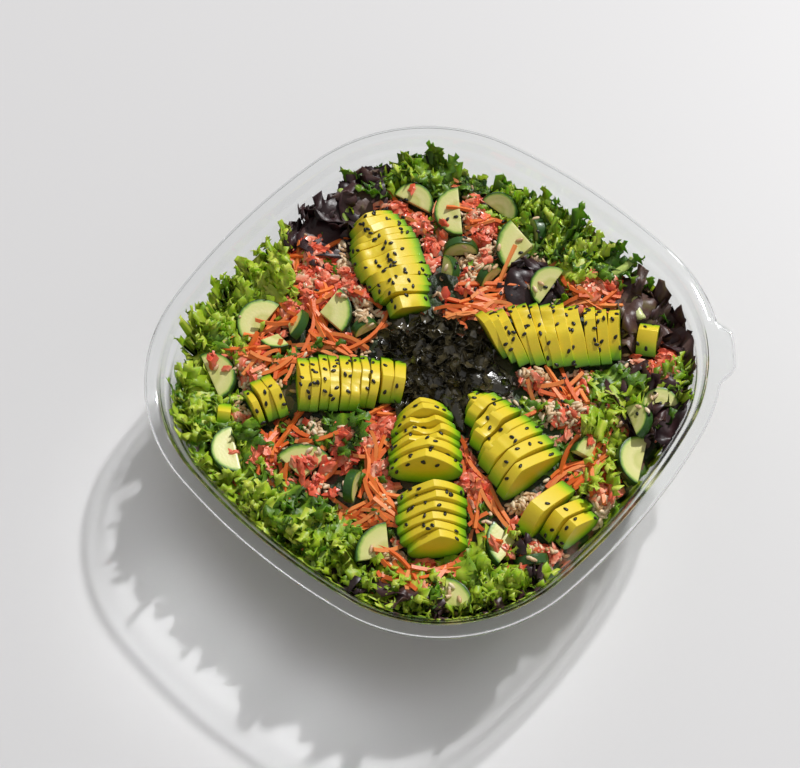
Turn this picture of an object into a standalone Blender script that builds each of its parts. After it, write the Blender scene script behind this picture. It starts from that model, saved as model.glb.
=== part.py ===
"""A poke bowl: a clear rounded-square tub filled with a tossed salad of leaves, rice,
crab and carrot shreds, under five sliced avocados, cucumber pieces and a heap of nori.

Units are metres, +Z is up, and the origin is the centre of the tub's underside.
"""

import math
import random
from dataclasses import dataclass

import bmesh
import bpy
from mathutils import Matrix, Vector, noise
from mathutils.bvhtree import BVHTree

MM = 0.001

# Tub: outer size, the arcs of its outline, wall and lift tab
SIDE = 305 * MM
HEIGHT = 85 * MM
CORNER_RADIUS = 104 * MM
SIDE_RADIUS = 386 * MM
WALL = 1.1 * MM
TAB_REACH = 7.5 * MM
TAB_ANGLE = math.radians(39)
TAB_HALF_ANGLE = math.radians(11)
SIDE_STEPS = 4
CORNER_STEPS = 6
TAB_CORNER_STEPS = 10

# Outer face of the tub from the base to the lip: inset from the outer edge, and height
LIP_BOTTOM = HEIGHT - 4.5 * MM
FLANGE_UNDERSIDE = HEIGHT - WALL
TUB_PROFILE = (
    (55.0 * MM, 0.0),
    (50.5 * MM, 0.9 * MM),
    (43.5 * MM, 5.0 * MM),
    (36.5 * MM, 16.0 * MM),
    (25.5 * MM, 38.0 * MM),
    (15.5 * MM, 60.0 * MM),
    (12.4 * MM, 72.5 * MM),
    (9.8 * MM, 74.3 * MM),
    (8.2 * MM, 81.8 * MM),
    (7.0 * MM, FLANGE_UNDERSIDE),
    (WALL, FLANGE_UNDERSIDE - WALL),
    (WALL, LIP_BOTTOM),
)
WALL_LEVELS = 7
LIP_LEVELS = 2

# Salad: height at the tub's wall and in the middle, and its uneven top
GAP = 0.35 * MM
EDGE_HEIGHT = 57 * MM
CROWN_HEIGHT = 69 * MM
SHOULDER_DROP = 9 * MM
SHOULDER_INSET = 7 * MM
TOP_RINGS = 5
LUMP_HEIGHT = 2.0 * MM
LUMP_SIZE = 34 * MM
SEED = 11

# Neighbouring facets that turn less than this are one flat facet
FLAT_ANGLE = math.radians(2.5)

# Pieces of the salad at their true sizes
CARROT_WIDTH = 2.8 * MM
CARROT_THICKNESS = 1.8 * MM
CRAB_WIDTH = 3.4 * MM
RICE_LENGTH = 6.4 * MM
RICE_WIDTH = 2.9 * MM
LEAF_THICKNESS = 0.9 * MM
SESAME_LENGTH = 3.2 * MM
SESAME_WIDTH = 1.9 * MM

# Cucumber slices
CUCUMBER_THICKNESS = 5.5 * MM

# Avocado: how deep it is bedded, and how far neighbouring slices cling together
AVOCADO_SINK = 3.0 * MM
CLING = 0.5 * MM

# Nori heap: its middle, how far it spreads, and its strips
NORI_X = 4 * MM
NORI_Y = 3 * MM
NORI_REACH = 30 * MM
NORI_DEPTH = 4 * MM
NORI_POINTS = 20
NORI_CRUMPLE = 1.5 * MM
NORI_STRIPS = 11
NORI_WIDTH = 4.0 * MM
NORI_THICKNESS = 0.9 * MM


@dataclass(frozen=True)
class Avocado:
    """A row of slices cut across a piece of avocado that lies on its skin side."""

    name: str
    x: float
    y: float
    heading: float
    count: int
    pitches: tuple
    widths: tuple
    height: float
    lean: float
    skew: tuple
    ridge: float
    stone: float
    sesame: int


@dataclass(frozen=True)
class Cucumber:
    """A cut slice of cucumber: the part of a round that its sweep leaves."""

    x: float
    y: float
    facing: float
    radius: float
    sweep: float
    tilt: float
    toward: float


@dataclass(frozen=True)
class Leaf:
    """A leaf that lies on the salad from its root towards its tip."""

    x: float
    y: float
    heading: float
    length: float
    width: float
    lift: float


AVOCADOS = (
    Avocado("avocado_back_left", -38, 23, 150, 12, (7.2, 5.0), (26, 44, 28), 21, 14, (-6, 8), 0.30, 0.5, 9),
    Avocado("avocado_back_right", 15, 39, 42, 12, (6.0, 7.2), (34, 43, 34), 22, 14, (26, -4), 0.25, 0.5, 10),
    Avocado("avocado_back_right_end", 84, 99, 30, 1, (12, 12), (22, 22, 22), 15, 10, (0, 0), 0.1, 0, 1),
    Avocado("avocado_right", 32, 1, -17, 9, (5.4, 8.8), (12, 36, 44), 21, 14, (16, 6), -0.25, 0.5, 6),
    Avocado("avocado_right_slice", 105, -26, -14, 1, (10, 10), (40, 40, 40), 21, 8, (10, 10), -0.25, 0, 1),
    Avocado("avocado_right_end", 118, -22, -14, 2, (8, 7), (34, 32, 28), 18, 12, (6, 6), -0.2, 0, 3),
    Avocado("avocado_front_right", 17, -29, -45, 7, (5.0, 7.0), (30, 40, 42), 21, 26, (6, -4), 0.05, 0.6, 6),
    Avocado("avocado_front_right_end", 52, -64, -43, 6, (5.6, 6.2), (38, 40, 34), 20, 22, (0, 0), 0.1, 0, 5),
    Avocado("avocado_front_left", -11, -21, 220, 10, (5.6, 7.0), (28, 36, 35), 20, 16, (-4, 4), 0.2, 0.4, 8),
    Avocado("avocado_front_left_end", -61, -72, 246, 3, (6.2, 5.6), (30, 29, 26), 18, 12, (0, 0), 0.1, 0, 3),
    Avocado("avocado_front_left_tip", -79, -97, 215, 1, (8, 8), (15, 15, 15), 11, 10, (0, 0), 0.1, 0, 0),
)

HALF = 180
QUARTER = 95
UPRIGHT = 78
CUCUMBERS = (
    Cucumber(-63, 91, 225, 16, HALF, 12, 315),
    Cucumber(-88, 89, 100, 13, HALF, 18, 300),
    Cucumber(-42, 76, 60, 11, HALF, UPRIGHT, 315),
    Cucumber(-18, 96, 215, 22, QUARTER, 10, 300),
    Cucumber(-42, 118, 90, 12, HALF, 42, 290),
    Cucumber(-15, 119, 50, 10, HALF, UPRIGHT, 235),
    Cucumber(14, 87, 185, 13, HALF, 22, 330),
    Cucumber(-16, 71, 90, 9, HALF, UPRIGHT, 355),
    Cucumber(-36, 60, 60, 11, QUARTER, 50, 240),
    Cucumber(122, 31, 205, 15, HALF, 22, 30),
    Cucumber(112, 52, 60, 12, HALF, 45, 210),
    Cucumber(112, 72, 130, 11, HALF, 12, 330),
    Cucumber(98, 18, 160, 13, QUARTER, 40, 20),
    Cucumber(-68, -6, 45, 19, QUARTER, 10, 300),
    Cucumber(-50, -4, 90, 8, HALF, UPRIGHT, 340),
    Cucumber(-107, -40, 185, 16, HALF, 14, 0),
    Cucumber(-81, -28, 20, 13, QUARTER, 45, 200),
    Cucumber(-84, -46, 300, 12, QUARTER, 20, 120),
    Cucumber(-97, -80, 65, 15, HALF, 12, 300),
    Cucumber(-60, -115, 235, 15, HALF, 14, 60),
    Cucumber(-21, -90, 130, 20, QUARTER, 12, 310),
    Cucumber(12, -85, 90, 10, HALF, UPRIGHT, 25),
    Cucumber(44, -104, 185, 19, QUARTER, 20, 0),
    Cucumber(97, -59, 225, 17, QUARTER, 14, 45),
    Cucumber(98, -95, 80, 15, QUARTER, 8, 290),
    Cucumber(117, -54, 90, 10, HALF, UPRIGHT, 140),
)

LEAVES = (
    Leaf(-74, 105, 160, 42, 22, 6),
    Leaf(-84, 96, 185, 34, 24, 3),
    Leaf(4, 117, 95, 18, 32, 8),
    Leaf(22, 106, 85, 34, 24, 5),
    Leaf(42, 118, 60, 22, 20, 5),
    Leaf(62, 122, 345, 36, 16, 5),
    Leaf(106, 86, 350, 20, 20, 5),
    Leaf(82, 52, 20, 34, 24, 4),
    Leaf(68, 24, 30, 30, 18, 3),
    Leaf(-100, 66, 130, 26, 24, 5),
    Leaf(-104, 44, 185, 26, 24, 5),
    Leaf(-84, 20, 170, 34, 20, 4),
    Leaf(-108, -8, 190, 26, 28, 5),
    Leaf(-112, -26, 200, 26, 26, 5),
    Leaf(-106, -62, 195, 32, 28, 6),
    Leaf(-98, -98, 200, 14, 18, 3),
    Leaf(-84, -110, 225, 12, 16, 3),
    Leaf(-32, -108, 255, 32, 28, 3),
    Leaf(-28, -64, 250, 22, 14, 3),
    Leaf(10, -106, 250, 32, 26, 3),
    Leaf(26, -112, 290, 28, 28, 5),
    Leaf(62, -114, 320, 28, 24, 3),
    Leaf(94, -80, 350, 30, 14, 3),
    Leaf(84, -46, 10, 22, 16, 3),
)

# Stems and ribs: root, heading, length and width in millimetres, and rise in degrees
STEMS = (
    (-64, 109, 70, 25, 7, 16),
    (-106, 44, 140, 30, 6, 14),
    (40, 112, 78, 26, 6, 14),
    (56, 122, 318, 22, 8, 8),
    (28, -104, 268, 34, 7, 6),
    (86, -82, 14, 32, 5, 6),
    (-108, -58, 300, 16, 6, 6),
    (-98, 30, 50, 14, 6, 6),
)

# Centres of the carrot, crab and rice patches on the salad, in millimetres
CARROT_PATCHES = (
    (-72, -22), (-86, -62), (-2, 44), (-6, 62), (16, 116), (22, 98), (72, 42), (102, 36), (112, 8),
    (66, -36), (20, -68), (30, -98), (64, -110), (84, -92), (-76, 74), (4, -52), (-92, 10),
)
CRAB_PATCHES = (
    (-34, 92), (-66, 74), (-102, 76), (-108, 16), (-74, 10), (-92, -18), (-98, -64), (-22, 56),
    (44, 108), (102, 94), (122, 0), (112, -60), (66, -44), (-4, -96), (-46, -106), (76, -106), (-26, -122),
)
RICE_PATCHES = (
    (-28, 76), (-62, 8), (-88, -76), (50, 30), (110, 84), (126, -6), (-22, -74), (32, -86), (92, -104),
    (-94, 0), (84, 26), (2, -66),
)


def corner_centre():
    """Distance of each corner arc's centre from both middle planes of the tub."""
    reach = SIDE_RADIUS - SIDE / 2
    span = SIDE_RADIUS - CORNER_RADIUS
    return (math.sqrt(2 * span * span - reach * reach) - reach) / 2


def corner_start():
    """Angle at which a side's arc ends and a corner's arc begins."""
    centre = corner_centre()
    return math.atan2(centre, centre + SIDE_RADIUS - SIDE / 2)


def tab_swell(angle):
    """How far out the lift tab stands at an angle of its corner, from 0 to 1."""
    away = abs(angle - TAB_ANGLE) / TAB_HALF_ANGLE
    return 0.0 if away >= 1 else min(1.0, 2.2 * (1 - away))


def outline(inset, z, tab=0.0):
    """Points round the rounded square that lies an inset inside the tub's outer edge."""
    centre = corner_centre()
    start = corner_start()
    points = []
    for quarter in range(4):
        turn = Matrix.Rotation(quarter * math.pi / 2, 3, "Z")
        radius = SIDE_RADIUS - inset
        for step in range(SIDE_STEPS):
            angle = start * (2 * step / SIDE_STEPS - 1)
            x = SIDE / 2 - SIDE_RADIUS + radius * math.cos(angle)
            points.append(turn @ Vector((x, radius * math.sin(angle), z)))
        steps = TAB_CORNER_STEPS if quarter == 0 else CORNER_STEPS
        for step in range(steps):
            angle = start + (math.pi / 2 - 2 * start) * step / steps
            swell = tab * tab_swell(angle) if quarter == 0 else 0.0
            radius_here = CORNER_RADIUS - inset + swell
            x = centre + radius_here * math.cos(angle)
            points.append(turn @ Vector((x, centre + radius_here * math.sin(angle), z)))
    return points


def inset_of(x, y):
    """Inset of a point from the tub's outer edge, measured on the plan."""
    centre = corner_centre()
    start = corner_start()
    x, y = abs(x), abs(y)
    angle = math.atan2(y - centre, x - centre)
    if start < angle < math.pi / 2 - start:
        return CORNER_RADIUS - math.hypot(x - centre, y - centre)
    reach = SIDE_RADIUS - SIDE / 2
    return SIDE_RADIUS - max(math.hypot(x + reach, y), math.hypot(x, y + reach))


def inner_inset(z, gap):
    """Inset of the tub's inner face at a height, with a gap kept to it."""
    insets = []
    wall = TUB_PROFILE[:WALL_LEVELS]
    for (inset_a, z_a), (inset_b, z_b) in zip(wall, wall[1:]):
        slope = math.hypot(inset_b - inset_a, z_b - z_a) / (z_b - z_a)
        part = (z - z_a) / (z_b - z_a)
        insets.append(inset_a + part * (inset_b - inset_a) + (WALL + gap) * slope)
    return max(insets)


def material(name, colour, roughness, transmission=0.0):
    """A Principled material with one colour."""
    made = bpy.data.materials.new(name)
    made.use_nodes = True
    shader = made.node_tree.nodes["Principled BSDF"]
    shader.inputs["Base Color"].default_value = (*colour, 1.0)
    shader.inputs["Roughness"].default_value = roughness
    shader.inputs["Metallic"].default_value = 0.0
    shader.inputs["Transmission Weight"].default_value = transmission
    return made


def give_material(item, made):
    """Give an object one material, on all its faces."""
    item.data.materials.clear()
    item.data.materials.append(made)
    for face in item.data.polygons:
        face.material_index = 0


def new_object(name, points, faces, collection):
    """An object from points and faces, with its faces turned outwards."""
    mesh = bpy.data.meshes.new(name)
    mesh.from_pydata([tuple(point) for point in points], [], faces)
    shape = bmesh.new()
    shape.from_mesh(mesh)
    bmesh.ops.recalc_face_normals(shape, faces=shape.faces)
    shape.to_mesh(mesh)
    shape.free()
    made = bpy.data.objects.new(name, mesh)
    collection.objects.link(made)
    return made


def skin_faces(rings, count, cap_start=True, cap_end=True):
    """Faces between rings of equal point counts, and over the first and the last ring."""
    faces = []
    for ring in range(rings - 1):
        for step in range(count):
            after = (step + 1) % count
            lower, upper = ring * count, (ring + 1) * count
            faces.append((lower + step, lower + after, upper + after, upper + step))
    if cap_start:
        faces.append(tuple(reversed(range(count))))
    if cap_end:
        faces.append(tuple(range((rings - 1) * count, rings * count)))
    return faces


def apply_modifiers(item):
    """Replace an object's mesh by its evaluated mesh, and drop its modifiers."""
    evaluated = item.evaluated_get(bpy.context.evaluated_depsgraph_get())
    mesh = bpy.data.meshes.new_from_object(evaluated)
    item.modifiers.clear()
    item.data = mesh


def keep_largest_body(item):
    """Drop loose scraps and sealed hollows, and merge points that coincide."""
    shape = bmesh.new()
    shape.from_mesh(item.data)
    bmesh.ops.remove_doubles(shape, verts=shape.verts, dist=0.00001)
    bmesh.ops.dissolve_degenerate(shape, edges=shape.edges, dist=0.00001)
    unseen = set(shape.verts)
    bodies = []
    while unseen:
        body = {unseen.pop()}
        edge_of_body = list(body)
        while edge_of_body:
            vert = edge_of_body.pop()
            near = {edge.other_vert(vert) for edge in vert.link_edges} & unseen
            unseen -= near
            body |= near
            edge_of_body.extend(near)
        bodies.append(body)
    bodies.sort(key=len)
    loose = [vert for body in bodies[:-1] for vert in body]
    bmesh.ops.delete(shape, geom=loose, context="VERTS")
    bmesh.ops.dissolve_limit(shape, angle_limit=FLAT_ANGLE, verts=shape.verts, edges=shape.edges)
    bmesh.ops.triangulate(shape, faces=shape.faces)
    shape.to_mesh(item.data)
    shape.free()


def combine(target, pieces, operation, solver):
    """Join pieces to a target, or cut them out of it, by one Boolean on a collection."""
    group = bpy.data.collections.new("combined")
    for piece in pieces:
        group.objects.link(piece)
    boolean = target.modifiers.new("Combine", "BOOLEAN")
    boolean.operation = operation
    boolean.operand_type = "COLLECTION"
    boolean.collection = group
    boolean.solver = solver
    apply_modifiers(target)
    for piece in pieces:
        bpy.data.objects.remove(piece)
    bpy.data.collections.remove(group)
    keep_largest_body(target)


def tree_of(item):
    """A search tree over an object's faces, in world space."""
    points = [item.matrix_world @ vert.co for vert in item.data.vertices]
    return BVHTree.FromPolygons(points, [tuple(face.vertices) for face in item.data.polygons])


def height_at(tree, x, y):
    """Height of a surface below a point of the plan, or None beside it."""
    place, _, _, _ = tree.ray_cast(Vector((x, y, 2 * HEIGHT)), Vector((0, 0, -1)))
    return place.z if place else None


def place_mesh(item, matrix):
    """Move an object's mesh, so that the object itself stays at the origin."""
    item.data.transform(matrix)
    item.data.update()


def settle(item, tree, sink):
    """Lower or raise a piece until it is bedded by a depth in the surface below it."""
    lifts = []
    for vert in item.data.vertices:
        ground = height_at(tree, vert.co.x, vert.co.y)
        if ground is not None:
            lifts.append(ground - vert.co.z)
    place_mesh(item, Matrix.Translation((0, 0, max(lifts) - sink)))


class KeepOut:
    """Convex hulls round the toppings, which other pieces stay clear of."""

    def __init__(self):
        self.hulls = []

    def add(self, item, margin, collection):
        """Add the hull of a topping, grown by a margin, and return it as an object."""
        shape = bmesh.new()
        for vert in item.data.vertices:
            shape.verts.new(vert.co)
        result = bmesh.ops.convex_hull(shape, input=shape.verts)
        inside = [part for part in result["geom_interior"] if isinstance(part, bmesh.types.BMVert)]
        bmesh.ops.delete(shape, geom=inside, context="VERTS")
        bmesh.ops.dissolve_limit(shape, angle_limit=math.radians(2), verts=shape.verts, edges=shape.edges)
        bmesh.ops.triangulate(shape, faces=shape.faces)
        bmesh.ops.recalc_face_normals(shape, faces=shape.faces)
        shape.normal_update()
        grown = [vert.co + vert.normal * margin * vert.calc_shell_factor() for vert in shape.verts]
        for vert, place in zip(shape.verts, grown):
            vert.co = place
        mesh = bpy.data.meshes.new(item.name + "_bed")
        shape.to_mesh(mesh)
        shape.free()
        bed = bpy.data.objects.new(mesh.name, mesh)
        collection.objects.link(bed)
        planes = [(face.center.copy(), face.normal.copy()) for face in mesh.polygons]
        self.hulls.append((tree_of(bed), planes))
        return bed

    def holds(self, item):
        """Whether a piece enters one of the hulls."""
        tree = tree_of(item)
        for hull, planes in self.hulls:
            if hull.overlap(tree):
                return True
            for vert in item.data.vertices:
                if all((vert.co - centre).dot(normal) < 0 for centre, normal in planes):
                    return True
        return False


def fits_tub(item, gap):
    """Whether every point of a piece is inside the tub's wall with a gap."""
    for vert in item.data.vertices:
        if inset_of(vert.co.x, vert.co.y) < inner_inset(vert.co.z, gap):
            return False
    return True


def build_tub(collection):
    """The clear tub: one sheet from the base to the down-turned lip, with a lift tab."""
    rings = []
    first_tab_level = len(TUB_PROFILE) - LIP_LEVELS
    for level, (inset, z) in enumerate(TUB_PROFILE):
        tab = TAB_REACH if level >= first_tab_level else 0.0
        rings.append(outline(inset, z, tab))
    points = [point for ring in rings for point in ring]
    mesh = bpy.data.meshes.new("tub")
    faces = skin_faces(len(rings), len(rings[0]), cap_end=False)
    mesh.from_pydata([tuple(point) for point in points], [], faces)
    tub = bpy.data.objects.new("tub", mesh)
    collection.objects.link(tub)
    wall = tub.modifiers.new("Wall", "SOLIDIFY")
    wall.thickness = WALL
    wall.offset = -1.0
    wall.use_even_offset = True
    mesh.shade_smooth()
    mesh.set_sharp_from_angle(angle=math.radians(40))
    give_material(tub, material("clear_plastic", (0.93, 0.95, 0.95), 0.05, 0.95))
    return tub


def build_salad_core(collection):
    """The heap under the toppings, with its sides against the tub and a lumpy dome on top."""
    floor = WALL + GAP
    levels = [floor]
    levels += [z for _, z in TUB_PROFILE[2:WALL_LEVELS] if z < EDGE_HEIGHT - SHOULDER_DROP]
    levels.append(EDGE_HEIGHT - SHOULDER_DROP)
    rings = [outline(inner_inset(z, GAP), z) for z in levels]
    shoulder = inner_inset(EDGE_HEIGHT, GAP) + SHOULDER_INSET
    edge = outline(shoulder, 0.0)
    for ring in range(TOP_RINGS):
        share = 1 - ring / TOP_RINGS
        points = []
        for point in edge:
            x, y = point.x * share, point.y * share
            lump = noise.noise(Vector((x / LUMP_SIZE, y / LUMP_SIZE, SEED))) * LUMP_HEIGHT
            dome = EDGE_HEIGHT + (CROWN_HEIGHT - EDGE_HEIGHT) * (1 - share * share)
            points.append(Vector((x, y, dome + lump)))
        rings.append(points)
    points = [point for ring in rings for point in ring]
    count = len(edge)
    faces = skin_faces(len(rings), count, True, False)
    points.append(Vector((0, 0, CROWN_HEIGHT)))
    last = (len(rings) - 1) * count
    faces += [(last + step, last + (step + 1) % count, len(points) - 1) for step in range(count)]
    return new_object("salad", points, faces, collection)


def slice_outline(half_width, height, ridge, stone):
    """Outline of an avocado slice: a skin side below, and two cut sides up to a ridge."""
    sides = [(-1.0, 0.36), (-0.66, 0.0), (0.66, 0.0), (1.0, 0.36)]
    if stone > 0:
        low = 0.95 - stone
        top = [(ridge + 0.36, 0.95), (ridge + 0.13, low), (ridge - 0.13, low), (ridge - 0.36, 0.95)]
    else:
        top = [(ridge + 0.1, 1.0), (ridge - 0.1, 1.0)]
    return [(v * half_width, w * height) for v, w in sides + top]


def three_way(values, part):
    """Smooth value between a first, a middle and a last one."""
    first, middle, last = values
    bend = middle - (first + last) / 2
    return first + (last - first) * part + bend * 4 * part * (1 - part)


def build_slice(name, thickness, profile, collection):
    """One slice as a flat plate on its edge, its thickness along X."""
    half = thickness / 2
    points = [Vector((-half, v, w)) for v, w in profile] + [Vector((half, v, w)) for v, w in profile]
    return new_object(name, points, skin_faces(2, len(profile)), collection)


def build_avocado(row, tree, collection, draw):
    """A fan of leaning slices that cling to each other, bedded in the salad."""
    heading = math.radians(row.heading)
    lean = math.radians(row.lean)
    start = Vector((row.x, row.y, 0)) * MM
    slices = []
    travel = 0.0
    for number in range(row.count):
        part = number / max(1, row.count - 1)
        pitch = (row.pitches[0] + (row.pitches[1] - row.pitches[0]) * part) * MM
        half_width = three_way(row.widths, part) / 2 * MM
        height = min(row.height * MM, half_width * 1.15 + 2 * MM) * draw.uniform(0.95, 1.03)
        stone = row.stone * max(0.0, math.sin(math.pi * part) - 0.45)
        profile = slice_outline(half_width, height, row.ridge, stone)
        thickness = pitch * math.cos(lean) + CLING
        piece = build_slice(f"slice_{number}", thickness, profile, collection)
        side = draw.uniform(-0.8, 0.8) * MM
        skew = row.skew[0] + (row.skew[1] - row.skew[0]) * part
        turn = Matrix.Rotation(math.radians(skew + draw.uniform(-1.5, 1.5)), 4, "Z")
        place_mesh(piece, Matrix.Translation((travel, side, 0)) @ turn @ Matrix.Rotation(-lean, 4, "Y"))
        slices.append(piece)
        travel += pitch
    along = Vector((math.cos(heading), math.sin(heading), 0))
    end = start + along * travel
    ground_start = height_at(tree, start.x, start.y)
    ground_end = height_at(tree, end.x, end.y) or EDGE_HEIGHT
    slope = math.atan2(ground_end - ground_start, max(travel, 20 * MM))
    frame = Matrix.Rotation(heading, 4, "Z") @ Matrix.Rotation(-slope, 4, "Y")
    body = slices[0]
    if len(slices) > 1:
        combine(body, slices[1:], "UNION", "MANIFOLD")
    body.name = row.name
    body.data.name = row.name
    place_mesh(body, Matrix.Translation(start) @ frame)
    settle(body, tree, AVOCADO_SINK)
    return body


def build_spindle(name, length, width, height, collection):
    """A small grain or seed that is pointed at both ends."""
    points = [Vector((-length / 2, 0, 0)), Vector((length / 2, 0, 0))]
    for y, z in ((width / 2, 0), (0, height / 2), (-width / 2, 0), (0, -height / 2)):
        points.append(Vector((0, y, z)))
    faces = []
    for step in range(4):
        here, after = 2 + step, 2 + (step + 1) % 4
        faces.append((0, here, after))
        faces.append((1, after, here))
    return new_object(name, points, faces, collection)


def lay_on(item, place, normal, turn, sink):
    """Lay a small piece on a surface, turned round its normal and sunk a little."""
    upright = normal.to_track_quat("Z", "X").to_matrix().to_4x4()
    spin = Matrix.Rotation(turn, 4, "Z")
    place_mesh(item, Matrix.Translation(place - normal * sink) @ upright @ spin)


def add_sesame(body, count, collection, draw):
    """Fuse sesame seeds to the top of a topping, apart from each other."""
    tree = tree_of(body)
    corners = [vert.co for vert in body.data.vertices]
    low_x, high_x = min(c.x for c in corners), max(c.x for c in corners)
    low_y, high_y = min(c.y for c in corners), max(c.y for c in corners)
    seeds = []
    places = []
    for _ in range(count * 40):
        if len(seeds) == count:
            break
        x, y = draw.uniform(low_x, high_x), draw.uniform(low_y, high_y)
        place, normal, _, _ = tree.ray_cast(Vector((x, y, 2 * HEIGHT)), Vector((0, 0, -1)))
        turn = draw.uniform(0, math.pi)
        if place is None or normal.z < 0.75:
            continue
        if any((place - other).length < 2 * SESAME_LENGTH for other in places):
            continue
        seed = build_spindle("seed", SESAME_LENGTH, SESAME_WIDTH, SESAME_WIDTH * 0.8, collection)
        lay_on(seed, place, normal, turn, -0.1 * MM)
        seeds.append(seed)
        places.append(place)
    if seeds:
        combine(body, seeds, "UNION", "MANIFOLD")


def build_cucumber(number, cut, tree, collection, skin):
    """A cucumber piece: a sector of a round slice, tilted and bedded in the salad."""
    radius = cut.radius * MM
    sweep = math.radians(cut.sweep)
    steps = 6 if cut.sweep < 120 else 8
    profile = [] if cut.sweep == HALF else [(0.0, 0.0)]
    for step in range(steps + 1):
        angle = -sweep / 2 + sweep * step / steps
        profile.append((radius * math.cos(angle), radius * math.sin(angle)))
    middle = 0.42 * radius if cut.sweep == HALF else 0.6 * radius
    half = CUCUMBER_THICKNESS / 2
    points = [Vector((x - middle, y, -half)) for x, y in profile]
    points += [Vector((x - middle, y, half)) for x, y in profile]
    piece = new_object(f"cucumber_{number:02d}", points, skin_faces(2, len(profile)), collection)
    toward = math.radians(cut.toward)
    axis = Vector((-math.sin(toward), math.cos(toward), 0))
    spin = Matrix.Rotation(math.radians(cut.facing), 4, "Z")
    if cut.tilt == UPRIGHT:
        spin = Matrix.Rotation(toward + math.pi, 4, "Z")
    tilt = Matrix.Rotation(math.radians(cut.tilt), 4, axis)
    place_mesh(piece, Matrix.Translation((cut.x * MM, cut.y * MM, 0)) @ tilt @ spin)
    settle(piece, tree, -GAP)
    give_material(piece, skin)
    return piece


def build_strip(name, length, width, thickness, bend, collection):
    """A shred: a flat strip of square section with one bend in the middle."""
    points = []
    for step in (-1, 0, 1):
        x = step * length / 2
        y = bend * (1 - step * step)
        rise = bend * 0.4 * (1 - step * step)
        for side, up in ((-1, -1), (1, -1), (1, 1), (-1, 1)):
            points.append(Vector((x, y + side * width / 2, rise + up * thickness / 2)))
    return new_object(name, points, skin_faces(3, 4), collection)


def build_lump(name, size, collection, draw):
    """An uneven lump with few sides, for a clump of crab shreds."""
    mesh = bpy.data.meshes.new(name)
    shape = bmesh.new()
    bmesh.ops.create_icosphere(shape, subdivisions=1, radius=1.0)
    for vert in shape.verts:
        vert.co = vert.co * draw.uniform(0.8, 1.25)
        vert.co = Vector((vert.co.x * size, vert.co.y * size * 0.8, vert.co.z * size * 0.55))
    shape.to_mesh(mesh)
    shape.free()
    made = bpy.data.objects.new(name, mesh)
    collection.objects.link(made)
    return made


def build_leaf(leaf, turn, share, tree, collection):
    """A thin wavy leaf with lobed edges that follows the salad from root to tip."""
    draw = random.Random(round(leaf.x * 100 + leaf.y))
    stations = 5
    heading = math.radians(leaf.heading + turn)
    along = Vector((math.cos(heading), math.sin(heading), 0))
    across = Vector((-along.y, along.x, 0))
    root = Vector((leaf.x, leaf.y, 0)) * MM
    upper = []
    ground = height_at(tree, root.x, root.y)
    for station in range(stations):
        part = station / (stations - 1)
        middle = root + along * leaf.length * share * MM * part
        found = height_at(tree, middle.x, middle.y)
        ground = found if found is not None else ground
        rise = -0.9 * MM if station == 0 else 2.4 * MM + leaf.lift * MM * part * part
        half = leaf.width * share * MM / 2 * (0.35 + 0.65 * math.sin(math.pi * (0.12 + 0.72 * part)))
        lobe = 1.0 if station % 2 else 0.72
        for side in (-1, 0, 1):
            wave = 1.6 * MM * math.sin(2.6 * station + 1.7 * side + draw.uniform(0, 1.2))
            point = middle + across * side * half * lobe * draw.uniform(0.85, 1.1)
            point.z = ground + rise + (wave if side else -0.3 * MM)
            upper.append(point)
    lower = [point - Vector((0, 0, LEAF_THICKNESS)) for point in upper]
    under = len(upper)
    faces = []
    for station in range(stations - 1):
        for column in range(2):
            a = station * 3 + column
            for tri in ((a, a + 3, a + 4), (a, a + 4, a + 1)):
                faces.append(tri)
                faces.append(tuple(under + corner for corner in reversed(tri)))
    rim = [3 * station for station in range(stations)]
    rim += [3 * stations - 2, 3 * stations - 1]
    rim += [3 * station + 2 for station in reversed(range(stations - 1))]
    rim.append(1)
    for here, after in zip(rim, rim[1:] + rim[:1]):
        faces.append((here, after, under + after))
        faces.append((here, under + after, under + here))
    return new_object("leaf", upper + lower, faces, collection)


def build_stem(stem, turn, share, tree, collection):
    """A thick leaf rib: a six-sided tube that tapers a little and rises from the salad."""
    x, y, heading, length, width, rise = stem
    points = []
    for part, girth in ((0.0, 1.0), (0.5, 0.9), (1.0, 0.75)):
        arch = 1.2 * MM * math.sin(math.pi * part)
        radius = width / 2 * MM * girth
        for step in range(6):
            angle = step * math.pi / 3
            reach = length * share * MM * part
            points.append(Vector((reach, radius * math.cos(angle), radius * 0.8 * math.sin(angle) + arch)))
    made = new_object("stem", points, skin_faces(3, 6), collection)
    root = Vector((x, y, 0)) * MM
    root.z = height_at(tree, root.x, root.y) + width * 0.15 * MM
    spin = Matrix.Rotation(math.radians(heading + turn), 4, "Z")
    place_mesh(made, Matrix.Translation(root) @ spin @ Matrix.Rotation(math.radians(-rise), 4, "Y"))
    return made


def fitted(piece, build, tree, keep_out, collection):
    """Build a leaf or a stem at the largest size and least turn that is clear, if any is."""
    for share in (1.0, 0.85, 0.7, 0.55):
        for turn in (0, 12, -12, 25, -25):
            made = build(piece, turn, share, tree, collection)
            if fits_tub(made, 2 * GAP) and not keep_out.holds(made):
                return [made]
            bpy.data.objects.remove(made)
    return []


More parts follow.
